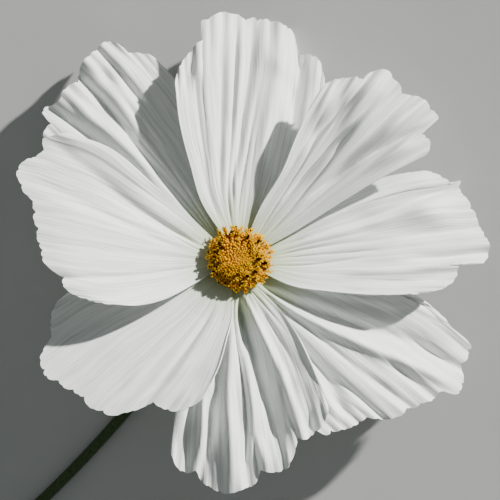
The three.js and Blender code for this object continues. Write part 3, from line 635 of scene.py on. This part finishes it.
def fine_pleats(petal, settings, random, u, v):
    """Lengthwise pleats that grow towards the margin: smooth random curves across the petal,
    from broad to narrow, whose lines wander a little along it, with some sharp furrows
    -exp(-(du / width)^2) between them, short kinks, and a ripple along the margin itself."""
    wander = PLEAT_WANDER * smooth_noise(random, 3.0 * v) * (1 - u * u)
    total = np.zeros(np.broadcast(u, v).shape)
    for waves, height in PLEAT_BANDS:
        turns, start = random.uniform(*PLEAT_TURNS)
        blend = 0.5 + 0.5 * np.sin(math.pi * (v * turns + start))
        line = u + wander + PLEAT_SWAY / waves * smooth_noise(random, 4.0 * v)
        first = smooth_noise(random, line * waves)
        second = smooth_noise(random, (u - wander) * waves)
        total += height * (first * blend + second * (1 - blend))
    for _ in range(settings.pleats):
        line = (random.uniform(-FURROWS_WITHIN, FURROWS_WITHIN)
                + random.normal(0, FURROW_LEAN) * v + FURROW_SWAY * wander)
        width, depth, middle, length = random.uniform(*FURROW_LIMITS)
        total -= depth * hump((u - line) / width) * hump((v - middle) / length)
    for _ in range(settings.kinks):
        width, length, height, u0, v0 = random.uniform(*KINK_LIMITS)
        total += height * hump((u - u0) / width) * hump((v - v0) / length)
    ripple = sum(np.sin(u * n + random.uniform(0, TAU)) for n in RIPPLES) / len(RIPPLES)
    ripple = (ripple * (RIPPLE_HEIGHT + RIPPLE_HEIGHT_BY_PLEATS * petal["pleats"])
              * smoothstep(*RIPPLE_FADE_IN, v))
    uneven = (smooth_noise(random, 2.2 * u + 1.5 * v, *PLEATS_UNEVEN_ACROSS)
              * smooth_noise(random, 3.5 * v - 1.2 * u, *PLEATS_UNEVEN_ALONG))
    grow = smoothstep(*PLEATS_FADE_IN, v) * (PLEATS_AT_CLAW + (1 - PLEATS_AT_CLAW) * v)
    free = 1 - (PLEATS_HELD_BACK * smoothstep(*PLEATS_HELD_NEAR_EDGE, np.abs(u))
                * (1 - smoothstep(*PLEATS_FREE_AT_MARGIN, v)))
    return (petal["pleats"] * settings.pleat_depth * total * grow * uneven + ripple) * free


def petal_rows(count):
    """Rows over 0 to 1, closer together towards the margin: t (1.35 - 0.35 t)."""
    t = np.linspace(0, 1, count)
    return t * (1.35 - 0.35 * t)


def swung(along, aside, height, heading):
    """Points from their distances along and aside of a heading, and their heights."""
    c, s = math.cos(heading), math.sin(heading)
    return np.stack([along * c - aside * s, along * s + aside * c, height], axis=-1)


def petal_surface(petal, settings, random):
    """The middle surface of a petal in the head's frame, with its u and v.

    Along its axis a column runs straight from the claw to the margin; aside it spreads as
    claw u (1 - v)^2 plus its final offset times a widening curve. Its height is a cup
    C (1 - exp(-(r - r0) / run)), less a droop D (r / reach)^5, plus a stacking height that
    runs from one side's over or under to the other's, plus the folds and fine pleats."""
    u, angle, radius = margin_columns(petal, settings.column_width / MM)
    steps = np.hypot(np.diff(rad(angle)) * radius[1:], np.diff(radius))
    margin = np.concatenate([[0], np.cumsum(steps)])
    radius = radius - scallops(random, margin, settings.nick_depth / MM)
    v = petal_rows(settings.rows)
    u, angle, radius = u[:, None], angle[:, None], radius[:, None]
    v = np.broadcast_to(v[None, :], (len(u), len(v)))

    def blended(cw_side, ccw_side):
        return cw_side * (1 - u) / 2 + ccw_side * (1 + u) / 2

    widening = blended(through([0, *petal["cw"], 1], v), through([0, *petal["ccw"], 1], v))
    axis = rad(petal["axis"])
    along = CLAW_START + (radius * np.cos(rad(angle) - axis) - CLAW_START) * v
    aside = CLAW_HALF_WIDTH * u * (1 - v) ** 2 + radius * np.sin(rad(angle) - axis) * widening
    r = np.hypot(along, aside)
    cup = CUP_HEIGHT * (1 - np.exp(-(r - CLAW_START) / CUP_RUN))
    droop = petal["droop"] * (r / PETAL_REACH) ** DROOP_POWER
    up = smoothstep(*STACK_RISES, v)
    stack = (STACK_AT_CLAW * blended(*np.sign(petal["over"])) * (1 - up)
             + STACK_AT_MARGIN * blended(*petal["over"]) * up)
    lift = petal["lift"] * smoothstep(*LIFT_RISES, v)
    folds = fold_sum(petal, u, v) * smoothstep(*FOLDS_FADE_IN, v)
    height = cup - droop + stack + lift + folds + fine_pleats(petal, settings, random, u, v)
    uv = np.stack([np.broadcast_to((1 + u) / 2, v.shape), v], axis=-1)
    return swung(along, aside, height, axis), uv


# ---------------------------------------------------------------- materials

class Nodes:
    """Builds a node material in order, each node to the right of the last."""

    def __init__(self, name):
        self.material = bpy.data.materials.new(name)
        self.material.use_nodes = True
        self.tree = self.material.node_tree
        self.shader = self.tree.nodes["Principled BSDF"]

    def add(self, kind, values=None, **settings):
        node = self.tree.nodes.new(kind)
        for key, value in settings.items():
            setattr(node, key, value)
        for key, value in (values or {}).items():
            if isinstance(value, bpy.types.NodeSocket):
                self.tree.links.new(value, node.inputs[key])
            else:
                node.inputs[key].default_value = value
        return node

    def link(self, output, name):
        self.tree.links.new(output, self.shader.inputs[name])

    def set(self, **values):
        for key, value in values.items():
            self.shader.inputs[key.replace("_", " ")].default_value = value

    def place(self):
        """The place on the object."""
        return self.add("ShaderNodeTexCoord").outputs["Object"]

    def along(self):
        """The place on the piece's own map: across it and along it."""
        return self.add("ShaderNodeUVMap", uv_map="along").outputs[0]

    def split(self, vector):
        return self.add("ShaderNodeSeparateXYZ", {"Vector": vector}).outputs

    def streaks(self, vector, across, lengthwise, detail, roughness):
        """A noise drawn out lengthwise, with so many streaks across the map and along it."""
        scaled = self.add("ShaderNodeMapping", {"Vector": vector, "Scale": (across, lengthwise, 1)})
        return self.noise(scaled.outputs[0], 1.0, detail, roughness)

    def added(self, value, share, rest):
        """value times share, plus rest."""
        return self.add("ShaderNodeMath", {0: value, 1: share, 2: rest},
                        operation="MULTIPLY_ADD").outputs[0]

    def noise(self, vector, scale, detail=3.0, roughness=0.5):
        return self.add("ShaderNodeTexNoise", {
            "Vector": vector, "Scale": scale, "Detail": detail, "Roughness": roughness}).outputs[0]

    def ramp(self, factor, stops):
        """A colour ramp with linear colours at the given places."""
        node = self.add("ShaderNodeValToRGB", {"Fac": factor})
        elements, stops = node.color_ramp.elements, list(stops)
        while len(elements) < len(stops):
            elements.new(0.5)
        for element, (position, colour) in zip(elements, stops):
            element.position = position
            element.color = (*colour, 1)
        return node.outputs[0]

    def mix(self, factor, a, b, blend="MIX"):
        return self.add("ShaderNodeMix", {0: factor, 6: a, 7: b},
                        data_type="RGBA", blend_type=blend).outputs[2]

    def bump(self, height, distance):
        node = self.add("ShaderNodeBump", {"Height": height, "Distance": distance})
        self.link(node.outputs[0], "Normal")


def tones(colour, *shares):
    """A colour multiplied by each share."""
    return [tuple(share * c for c in colour) for share in shares]


def petal_material(settings):
    """White tissue: lengthwise veins that sway a little, in colour and relief, a green-yellow
    claw, and a soft glow through the thin blade."""
    m = Nodes("petal_white")
    across, along = m.split(m.along())[:2]
    swaying = m.added(m.noise(m.place(), 130.0, 1.0), 0.04, across)
    lines = m.add("ShaderNodeCombineXYZ", {"X": swaying, "Y": along}).outputs[0]
    fine = m.streaks(lines, 105, 2.2, 2.0, 0.6)
    veins = m.streaks(lines, 38, 1.4, 3.0, 0.65)
    white, shade = tuple(settings.colour), tuple(settings.vein_colour)
    tone = m.mix(0.5, m.ramp(veins, [(0.32, shade), (0.55, white)]),
                 m.ramp(fine, [(0.36, shade), (0.5, white)]))
    claw = m.ramp(along, [(0.02, (0.42, 0.5, 0.16)), (0.12, (0.72, 0.78, 0.58)), (0.3, (1, 1, 1))])
    m.link(m.mix(1.0, tone, claw, "MULTIPLY"), "Base Color")
    relief = m.added(fine, 0.5, veins)
    m.bump(m.added(m.noise(m.place(), 5200.0, 2.0), 0.1, relief), 0.00011)
    m.set(Roughness=0.62, Specular_IOR_Level=0.3, Sheen_Weight=0.15, Sheen_Roughness=0.4,
          Subsurface_Weight=settings.glow, Subsurface_Scale=0.001,
          Subsurface_Radius=(0.9, 0.95, 0.8))
    return m.material


def patch_material(name, colours, scale, roughness, bump=0.0, glow=0.0, shine=0.35):
    """A tissue whose colour drifts between a few tones, with fine relief."""
    m = Nodes(name)
    at = m.place()
    m.link(m.ramp(m.noise(at, scale, 4.0, 0.6),
                  zip(np.linspace(0.32, 0.68, len(colours)), colours)), "Base Color")
    if bump:
        m.bump(m.noise(at, scale * 2.5, 3.0), bump)
    m.set(Roughness=roughness, Specular_IOR_Level=shine,
          Subsurface_Weight=glow, Subsurface_Scale=0.0006, Subsurface_Radius=(1.0, 0.7, 0.1))
    return m.material


def bract_material(name, green):
    """Green tissue with darker veins and a paler, thinner margin."""
    m = Nodes(name)
    at = m.along()
    veins = m.streaks(at, 9, 1.5, 3.0, 0.6)
    dark, = tones(green, 0.62)
    pale, black = tuple(min(1.0, 1.7 * c + 0.03) for c in green), (0, 0, 0)
    edge = m.ramp(m.split(at)[0], [(0.0, pale), (0.12, black), (0.88, black), (1.0, pale)])
    m.link(m.mix(0.8, m.ramp(veins, [(0.3, dark), (0.65, green)]), edge, "ADD"), "Base Color")
    m.bump(veins, 0.00012)
    m.set(Roughness=0.55, Specular_IOR_Level=0.35, Subsurface_Weight=0.1, Subsurface_Scale=0.0006)
    return m.material


def stem_material(dark):
    """Dark green skin with paler lengthwise streaks."""
    m = Nodes("stem_green")
    streaks = m.streaks(m.along(), 16, 5, 4.0, 0.6)
    pale = tuple(min(1.0, 2.1 * c + 0.01) for c in dark)
    m.link(m.ramp(streaks, [(0.35, dark), (0.7, pale)]), "Base Color")
    m.bump(streaks, 0.00012)
    m.set(Roughness=0.48, Specular_IOR_Level=0.4, Subsurface_Weight=0.05, Subsurface_Scale=0.0005)
    return m.material


# ---------------------------------------------------------------- disc

def disc_height(radius):
    """Height of the core's dome at a distance from its middle."""
    return np.interp(radius, *np.transpose(DISC_PROFILE[:DOME_POINTS]))


def floret_layout(count, random):
    """Places, axes, sizes, angles and distances of the florets, and which of them are open: a
    golden-angle spiral whose distance from the middle is spread (n / count)^crowding, so that
    they are smaller and closer in the middle. Each leans outwards by lean (r / spread)^2, its
    size is the gap to its neighbours, and it strays sideways and in height by a small share of
    that gap."""
    n = np.arange(count) + 0.5
    share = n / count
    radius = FLORET_SPREAD * share ** FLORET_CROWDING
    gap = np.sqrt(TAU * FLORET_CROWDING / count) * FLORET_SPREAD * share ** (FLORET_CROWDING - 0.5)
    angle = n * GOLDEN_ANGLE + random.normal(0, ANGLE_STRAY, count)
    lean = FLORET_LEAN * (radius / FLORET_SPREAD) ** 2 + random.normal(0, LEAN_STRAY, count)
    x, y = (np.stack([np.cos(angle), np.sin(angle)]) * radius
            + gap * random.normal(0, FLORET_STRAY, (2, count)))
    height = disc_height(radius) + gap * random.normal(0, FLORET_RISE, count)
    places = np.stack([x + FLORETS_MIDDLE[0], y + FLORETS_MIDDLE[1], height], axis=-1)
    axes = leaning(lean, angle)
    axes += random.normal(0, AXIS_STRAY, axes.shape)
    opened = np.hypot(x - BUD_MIDDLE[0], y - BUD_MIDDLE[1]) > BUD_ZONE
    return places, axes, gap, angle, radius, opened


def bud_shape():
    """A closed floret: soft ribs that draw together at a blunt point."""
    radius, height = np.transpose([[0.4, -0.5], [0.52, 0.1], [0.44, 0.5], [0.16, 0.72]])
    ribs = 1 + 0.1 * np.cos(4 * ring_angles(8))[:, None] * np.array([0, 0.6, 1, 0.5])
    return turned(radius * ribs, np.broadcast_to(height, ribs.shape))


def corolla_shape():
    """An open floret: a trumpet that parts into five pointed, rising lobes, then the same
    surface back down inside it. Each row is a radius and a height in the notches, and how much
    more each is at the lobes' tips."""
    lobe = np.tile([1.0, 0.0], 5)[:, None]
    radius, height, more_radius, more_height = np.transpose([
        [0.24, -0.7, 0, 0], [0.34, 0.2, 0, 0], [0.47, 0.6, 0.04, 0.12],
        [0.5, 0.72, 0.22, 0.45], [0.38, 0.66, 0.12, 0.22], [0.2, 0.3, 0, 0]])
    return turned(radius + more_radius * lobe, height + more_height * lobe)


def anther_shape():
    """An anther tube: a narrow barrel with a five-pointed top."""
    radius, height = np.transpose([[0.5, 0], [0.85, 0.15], [1, 0.6], [0.85, 0.9], [0.4, 1.0]])
    five = np.cos(5 * ring_angles(10))[:, None]
    return turned(radius * (1 + 0.05 * five), height + np.array([0, 0, 0.02, 0.06, 0.05]) * five)


def style_shape():
    """One arm of a forked style: a thin tapering rod along a quarter turn, thick at its tip with
    pollen. Its middle line is (1.04 - cos t, 0, sin t), so that two arms set foot to foot stay
    apart from each other's vertices."""
    t = np.linspace(0, 0.5 * math.pi, 5)
    centres = np.stack([1.04 - np.cos(t), 0 * t, np.sin(t)], axis=-1)
    sides = np.stack([np.cos(t), 0 * t, -np.sin(t)], axis=-1)
    overs = np.broadcast_to([0.0, 1.0, 0.0], sides.shape)
    radii = np.broadcast_to(np.array([0.16, 0.17, 0.2, 0.26, 0.18])[:, None], (5, 6))
    return tube(centres, sides, overs, radii)


# ---------------------------------------------------------------- bracts and stem

def bract_grid(columns, rows):
    """u from -1 to 1 across a bract, v from 0 to 1 along it, and both as its map."""
    u, v = np.meshgrid(np.linspace(-1, 1, columns), np.linspace(0, 1, rows), indexing="ij")
    return u, v, np.stack([(1 + u) / 2, v], axis=-1)


def inner_bract(k, _):
    """The middle surface of an inner bract. Along its length it follows the cup's profile; across
    it, it spans an angle that narrows to a point, its edges curl in, and every other bract lies
    over its neighbours."""
    u, v, uv = bract_grid(13, 17)
    radius, height = (through(values, v) for values in np.transpose(INNER_PROFILE))
    spread = rad(INNER_HALF_ANGLE) * (1 - smoothstep(*INNER_NARROWS_FROM, v) * INNER_NARROWS)
    angle = TAU * k / INNER_BRACTS + u * spread
    over = INNER_OVERLAP * (1 if k % 2 else -1)
    curl = ((0.05 * np.cos(3 * math.pi * u) - 0.1 * u * u) * v
            + over * smoothstep(*INNER_OVERLAP_FROM, v))
    return np.stack([radius * np.cos(angle), radius * np.sin(angle), height - curl], axis=-1), uv


def outer_bract(k, random):
    """The middle surface of an outer bract: a narrow blade whose half width narrows to a point,
    folded along its midrib, hanging drop (r / length)^2 below its collar and curling a little."""
    u, v, uv = bract_grid(9, 25)
    along = OUTER_FROM + (OUTER_TIP - OUTER_FROM) * v
    width = ((OUTER_HALF_WIDTH + OUTER_WIDENING * smoothstep(*OUTER_WIDENS_BY, v))
             * (1 - OUTER_NARROWS * v ** OUTER_NARROWING_POWER))
    sway = random.uniform(-OUTER_SWAY, OUTER_SWAY) * np.sin(math.pi * v) * v
    drop = OUTER_DROP * ((along - OUTER_COLLAR) / OUTER_LENGTH) ** 2
    fold = (OUTER_FOLD * np.abs(u) * np.sin(math.pi * np.minimum(v * 1.05, 1))
            + OUTER_WAVE * np.sin(14 * v + k))
    heading = TAU * (k + 0.5) / OUTER_BRACTS
    return swung(along, u * width + sway, OUTER_HEIGHT - drop + fold, heading), uv


def stem_direction(distance, bend_length):
    """Which way the stem runs at distances along it: down and outwards, then level."""
    bend = np.clip(distance / bend_length, 0, 1)
    lying = np.clip((distance - bend_length) / (STEM_LENGTH - bend_length), 0, 1)
    pitch = rad((90 - HEAD_TILT) * (1 - bend))
    at_top = HEAD_TILT_TOWARDS + 180
    heading = rad(at_top + (STEM_HEADING_AT_BEND - at_top) * smoothstep(0, 1, bend)
                  + (STEM_HEADING_AT_END - STEM_HEADING_AT_BEND) * lying)
    return np.stack([np.cos(pitch) * np.cos(heading), np.cos(pitch) * np.sin(heading),
                     -np.sin(pitch)], axis=-1)


def stem_rings(stem_radius):
    """Centres, directions and radii of the rings of the stem: down the swelling under the head,
    then the sum of small strides along the stem's own direction."""
    top = place(np.array([0.0, 0, -STEM_TOP]))
    turn = rad(90 - HEAD_TILT)
    bend_length = (top[2] - stem_radius) / (1 - math.cos(turn)) * turn
    step = STEM_LENGTH / STEM_STRIDES
    path = stem_direction((np.arange(STEM_STRIDES) + 0.5) * step, bend_length) * step
    path = top + np.concatenate([[np.zeros(3)], np.cumsum(path, axis=0)])
    kept = np.linspace(0, STEM_STRIDES, STEM_RINGS).round().astype(int)
    t = np.arange(STEM_TOP_RINGS) / STEM_TOP_RINGS
    profile = np.array([*STEM_TOP_PROFILE, [stem_radius, -STEM_TOP]])
    radius, height = (through(values, t) for values in profile.T)
    centres = np.concatenate([place(height[:, None] * [0, 0, 1]), path[kept]])
    directions = stem_direction(kept * step, bend_length)
    directions = np.concatenate([np.tile(directions[0], (STEM_TOP_RINGS, 1)), directions])
    return centres, directions, np.concatenate([radius, np.full(len(kept), stem_radius)])


# ---------------------------------------------------------------- what a user may change

def colour_property(name, description, default):
    return bpy.props.FloatVectorProperty(
        name=name, description=description, subtype="COLOR", size=3, min=0, max=1, default=default)


def count_property(name, description, default, least, most):
    return bpy.props.IntProperty(
        name=name, description=description, default=default, min=least, max=most)


def number_property(name, description, default, least, most, **kind):
    return bpy.props.FloatProperty(
        name=name, description=description, default=default, min=least, max=most, **kind)


LENGTH = {"unit": "LENGTH", "subtype": "DISTANCE", "precision": 5}


class CosmosPetalSettings(bpy.types.PropertyGroup):
    """Sizes and colours of the petals."""
    thickness: number_property(
        "Thickness", "Thickness of a petal away from its rim", 0.00032, 0.0001, 0.0006, **LENGTH)
    column_width: number_property(
        "Mesh width", "Width of a mesh column at the margin", 0.0003, 0.0002, 0.003, **LENGTH)
    rows: count_property("Mesh rows", "Mesh rows from the claw to the margin", 84, 10, 200)
    pleats: count_property("Furrows", "How many fine furrows each petal has", 30, 0, 80)
    kinks: count_property("Kinks", "How many short bumps and hollows each petal has", 18, 0, 80)
    pleat_depth: number_property(
        "Pleat depth", "How deep the fine pleats are", 1.0, 0, 3, subtype="FACTOR")
    nick_depth: number_property(
        "Nick depth", "How deep the small notches of the margin are", 0.00055, 0, 0.001, **LENGTH)
    glow: number_property(
        "Translucency", "How much light spreads through the tissue", 0.12, 0, 1, subtype="FACTOR")
    colour: colour_property("Petal", "White of the petals", (0.86, 0.87, 0.85))
    vein_colour: colour_property("Veins", "Colour along the veins", (0.57, 0.61, 0.57))


class CosmosDiscSettings(bpy.types.PropertyGroup):
    """Count and colours of the florets."""
    florets: count_property("Florets", "How many florets the disc has", 360, 40, 600)
    bud: colour_property("Buds", "Closed florets", (0.56, 0.26, 0.0))
    corolla: colour_property("Corollas", "Open florets", (0.64, 0.30, 0.0))
    anther: colour_property("Anthers", "Anther tubes", (0.045, 0.013, 0.002))
    pollen: colour_property("Styles", "Styles and pollen", (0.62, 0.33, 0.0))
    core: colour_property("Core", "Between the florets", (0.36, 0.13, 0.001))


class CosmosGreenSettings(bpy.types.PropertyGroup):
    """Sizes and colours of the bracts and the stem."""
    stem_radius: number_property(
        "Stem radius", "Radius of the stem", 0.00095, 0.0005, 0.002, **LENGTH)
    inner_bract: colour_property("Inner bracts", "Inner bracts", (0.16, 0.22, 0.055))
    outer_bract: colour_property("Outer bracts", "Outer bracts", (0.045, 0.12, 0.02))
    stem: colour_property("Stem", "Skin of the stem", (0.026, 0.052, 0.010))


class CosmosStageSettings(bpy.types.PropertyGroup):
    """Floor and lights."""
    floor: colour_property("Floor", "Colour of the floor", (0.60, 0.60, 0.58))
    key: number_property("Key light", "Strength of the key light", 10.5, 0, 20)
    key_angle: number_property(
        "Key softness", "Apparent width of the key light", math.radians(2.0), 0, math.radians(60),
        unit="ROTATION", subtype="ANGLE")
    fill: number_property("Fill light", "Strength of the light from all round", 0.2, 0, 5)


# ---------------------------------------------------------------- operators

class COSMOS_OT_petals(bpy.types.Operator):
    """Builds the eight petals as thin pleated blades."""
    bl_idname = "cosmos.petals"
    bl_label = "Petals"

    def execute(self, context):
        settings = context.scene.cosmos_petals
        material = petal_material(settings)
        for order, (name, petal) in enumerate(PETALS.items()):
            random = np.random.default_rng(SEED + order)
            middle, uv = petal_surface(petal, settings, random)
            v = uv[..., 1]
            edge = np.minimum(1 - v, 0.5 * (1 - np.abs(2 * uv[..., 0] - 1)))
            full = THIN_RIM_SHARE + (1 - THIN_RIM_SHARE) * smoothstep(0, THIN_RIM, edge)
            points, groups, places = blade_mesh(place(middle), settings.thickness / MM * full, uv)
            new_piece(f"{name}_blade", points, groups, name, material, places, sharp=70)
        return {"FINISHED"}


class COSMOS_OT_disc(bpy.types.Operator):
    """Builds the disc: its core, the closed and open florets, the anthers and the styles."""
    bl_idname = "cosmos.disc"
    bl_label = "Disc"

    def execute(self, context):
        settings = context.scene.cosmos_disc
        random = np.random.default_rng(SEED)

        def add(name, shape, material):
            points, groups = shape
            new_piece(name, place(points), groups, "disc_florets", material)

        radius, height = np.transpose(DISC_PROFILE[1:-1])
        around = np.ones((DISC_SIDES, 1))
        add("disc_core", turned(radius * around, height * around), patch_material(
            "disc_core_orange", tones(settings.core, 0.6, 1),
            scale=2200, roughness=0.75, bump=0.0001))

        places, axes, gap, angle, distance, opened = floret_layout(settings.florets, random)
        turns = turns_to(axes, random.uniform(0, TAU, len(places)))
        closed = ~opened
        size = gap[closed] * random.uniform(*BUD_SIZES, closed.sum())
        buds = repeated(bud_shape(), turns[closed], places[closed], size)
        add("closed_florets", buds, patch_material(
            "bud_yellow", tones(settings.bud, 0.75, 1, 1.1),
            scale=1500, roughness=0.6, bump=0.00006, glow=0.5, shine=0.05))

        size = gap * random.uniform(*COROLLA_SIZES, len(gap))
        red, green, _ = settings.corolla
        corollas = repeated(corolla_shape(), turns[opened], places[opened], size[opened])
        add("open_florets", corollas, patch_material(
            "corolla_yellow", [(0.6 * red, 0.42 * green, 0), *tones(settings.corolla, 1, 1.15)],
            scale=900, roughness=0.55, bump=0.00005, glow=0.5, shine=0.05))

        # Painted shade: more dark low anthers crowd the side of the rim away from the key light.
        near = (smoothstep(*ANTHERS_SHADED_SIDE_RISE, np.cos(angle - rad(ANTHERS_SHADED_SIDE)))
                * smoothstep(*ANTHERS_RIM_RISE, distance))
        share = ANTHERS_SHARE + ANTHERS_SHARE_AT_SHADED_SIDE * near
        low = opened & (random.uniform(0, 1, len(gap)) < share)
        size = gap[low] * random.uniform(*LOW_ANTHER_SIZES, low.sum())
        barrel, groups = anther_shape()
        lows = repeated((barrel * LOW_ANTHER, groups), turns[low], places[low], size)
        at, out = rad(np.transpose(TALL_ANTHERS)[0]), np.transpose(TALL_ANTHERS)[1]
        feet = np.stack([out * np.cos(at) + FLORETS_MIDDLE[0], out * np.sin(at) + FLORETS_MIDDLE[1],
                         disc_height(out) - TALL_ANTHER_SUNK], axis=-1)
        lean = TALL_ANTHER_LEAN * (out / FLORET_SPREAD) + random.normal(0, LEAN_STRAY, len(at))
        upright = leaning(lean, at)
        upright += random.normal(0, TALL_AXIS_STRAY, upright.shape)
        talls = repeated((barrel * TALL_ANTHER, groups), turns_to(upright, at), feet,
                         random.uniform(*TALL_ANTHER_SIZES, len(at)))
        add("anther_tubes", joined([lows, talls]), patch_material(
            "anther_brown", tones(settings.anther, 0.5, 1, 2.2),
            scale=2600, roughness=0.8, bump=0.00008, shine=0.04))

        forked = (opened & (random.uniform(0, 1, len(gap)) < STYLES_SHARE)
                  & (distance > STYLES_FROM))
        gap, axes, count = gap[forked], axes[forked], forked.sum()
        tips = places[forked] + axes * (gap * random.uniform(*STYLE_FEET, count))[:, None]
        spin = random.uniform(0, TAU, count)
        size = gap * random.uniform(*STYLE_SIZES, count)
        arms = [repeated(style_shape(), turns_to(axes, spin + half), tips, size)
                for half in (0, math.pi)]
        add("styles", joined(arms), patch_material(
            "style_yellow", tones(settings.pollen, 0.75, 1, 1.1),
            scale=2500, roughness=0.8, bump=0.00008, glow=0.4, shine=0.05))
        return {"FINISHED"}


class COSMOS_OT_bracts(bpy.types.Operator):
    """Builds the two whorls of bracts under the petals."""
    bl_idname = "cosmos.bracts"
    bl_label = "Bracts"

    def execute(self, context):
        settings = context.scene.cosmos_greens
        random = np.random.default_rng(SEED)
        for whorl, middle_surface, count, colour, thickness in (
                ("inner_bract", inner_bract, INNER_BRACTS, settings.inner_bract, INNER_THICKNESS),
                ("outer_bract", outer_bract, OUTER_BRACTS, settings.outer_bract, OUTER_THICKNESS)):
            middles = [middle_surface(k, random) for k in range(count)]
            blades = [blade_mesh(place(middle), thickness, uv) for middle, uv in middles]
            points, groups = joined([blade[:2] for blade in blades])
            new_piece(f"{whorl}_blades", points, groups, f"{whorl}s",
                      bract_material(f"{whorl}_green", tuple(colour)),
                      np.concatenate([blade[2] for blade in blades]), sharp=60)
        return {"FINISHED"}


class COSMOS_OT_stem(bpy.types.Operator):
    """Builds the stem, with the swelling under the head and the cut face at its end."""
    bl_idname = "cosmos.stem"
    bl_label = "Stem"

    def execute(self, context):
        settings = context.scene.cosmos_greens
        centres, directions, radii = stem_rings(settings.stem_radius / MM)
        count = len(radii)
        side = np.cross(directions, [0, 0, 1])
        side /= np.linalg.norm(side, axis=1, keepdims=True)
        angles = ring_angles(STEM_SIDES)
        ridges = (STEM_RIDGE_HEIGHT * np.cos(STEM_RIDGES * angles)
                  * smoothstep(*STEM_RIDGES_FADE_IN, np.arange(count) / count)[:, None])
        radii = radii[:, None] * (STEM_MIDDLE + ridges)
        points, groups = tube(centres, side, np.cross(side, directions), radii)
        points[:, 2] = np.maximum(points[:, 2], 0)
        uv = np.stack([np.repeat(angles / TAU, count),
                       np.tile(np.arange(count) / count * STEM_MAP_LENGTH, STEM_SIDES)], axis=-1)
        uv = np.concatenate([uv, [[0, 0], [0, STEM_MAP_LENGTH]]])
        stem = new_piece("stem_skin", points, groups, "stem",
                         stem_material(tuple(settings.stem)), uv, sharp=60)
        stem.data.materials.append(patch_material(
            "stem_cut_pale", STEM_CUT_COLOURS, scale=2600, roughness=0.6, bump=0.0001))
        finish = np.zeros(len(stem.data.polygons), np.int32)
        finish[-STEM_SIDES:] = 1
        stem.data.polygons.foreach_set("material_index", finish)
        return {"FINISHED"}


class COSMOS_OT_stage(bpy.types.Operator):
    """Builds the floor, the lights and the camera."""
    bl_idname = "cosmos.stage"
    bl_label = "Stage"

    def execute(self, context):
        settings = context.scene.cosmos_stage
        ends = np.linspace(-FLOOR_HALF_WIDTH, FLOOR_HALF_WIDTH, FLOOR_POINTS)
        x, y = np.meshgrid(ends, ends, indexing="ij")
        mesh = bpy.data.meshes.new("floor")
        points = np.stack([x, y, 0 * x], axis=-1).reshape(-1, 3) * MM
        faces = grid_faces(FLOOR_POINTS, FLOOR_POINTS)[:, ::-1]
        mesh.from_pydata(points.tolist(), [], faces.tolist())
        mesh.materials.append(patch_material(
            "floor_pale", tones(settings.floor, 0.97, 1), scale=60, roughness=0.9))
        new_object("floor", mesh)

        view = lean_turn(HEAD_TILT, HEAD_TILT_TOWARDS) @ lean_turn(VIEW_LEAN, VIEW_LEAN_TOWARDS)
        right, up, back = (Vector(view.col[k]) for k in range(3))
        aim = Vector(HEAD_AT) + right * VIEW_OFFSET[0] + up * VIEW_OFFSET[1]
        camera = new_object("camera", bpy.data.cameras.new("camera"))
        camera.data.sensor_width = SENSOR
        camera.data.lens = SENSOR * VIEW_DISTANCE / VIEW_WIDTH
        camera.data.clip_start = CLIP_START * MM
        camera.data.clip_end = CLIP_END * MM
        camera.matrix_world = Matrix.Translation((aim + back * VIEW_DISTANCE) * MM) @ view.to_4x4()
        context.scene.camera = camera

        azimuth, rise = rad(KEY_FROM)
        towards = ((right * math.cos(azimuth) + up * math.sin(azimuth)) * math.cos(rise)
                   + back * math.sin(rise))
        key = new_object("key_light", bpy.data.lights.new("key_light", "SUN"))
        key.data.energy = settings.key
        key.data.angle = settings.key_angle
        key.data.color = KEY_COLOUR
        key.matrix_world = towards.to_track_quat("Z", "Y").to_matrix().to_4x4()
        world = bpy.data.worlds.new("studio")
        world.use_nodes = True
        light = world.node_tree.nodes["Background"].inputs
        light["Color"].default_value = FILL_COLOUR
        light["Strength"].default_value = settings.fill
        context.scene.world = world
        return {"FINISHED"}


class COSMOS_PT_panel(bpy.types.Panel):
    """Lists the sizes, the colours and the buttons that build the flower."""
    bl_idname = "COSMOS_PT_panel"
    bl_label = "Cosmos flower"
    bl_space_type = "VIEW_3D"
    bl_region_type = "UI"
    bl_category = "Cosmos"

    def draw(self, context):
        for group, (_, operators) in GROUPS.items():
            box = self.layout.box()
            settings = getattr(context.scene, group)
            for name in settings.__annotations__:
                box.prop(settings, name)
            for operator in operators:
                box.operator(operator.bl_idname)


GROUPS = {
    "cosmos_petals": (CosmosPetalSettings, [COSMOS_OT_petals]),
    "cosmos_disc": (CosmosDiscSettings, [COSMOS_OT_disc]),
    "cosmos_greens": (CosmosGreenSettings, [COSMOS_OT_bracts, COSMOS_OT_stem]),
    "cosmos_stage": (CosmosStageSettings, [COSMOS_OT_stage]),
}


def classes():
    return [each for settings, operators in GROUPS.values()
            for each in (settings, *operators)] + [COSMOS_PT_panel]


def register():
    for each in classes():
        bpy.utils.register_class(each)
    for group, (settings, _) in GROUPS.items():
        setattr(bpy.types.Scene, group, bpy.props.PointerProperty(type=settings))


def unregister():
    for group in GROUPS:
        delattr(bpy.types.Scene, group)
    for each in reversed(classes()):
        bpy.utils.unregister_class(each)


def main():
    register()
    bpy.ops.cosmos.petals()
    bpy.ops.cosmos.disc()
    bpy.ops.cosmos.bracts()
    bpy.ops.cosmos.stem()
    bpy.ops.cosmos.stage()


if __name__ == "__main__":
    main()
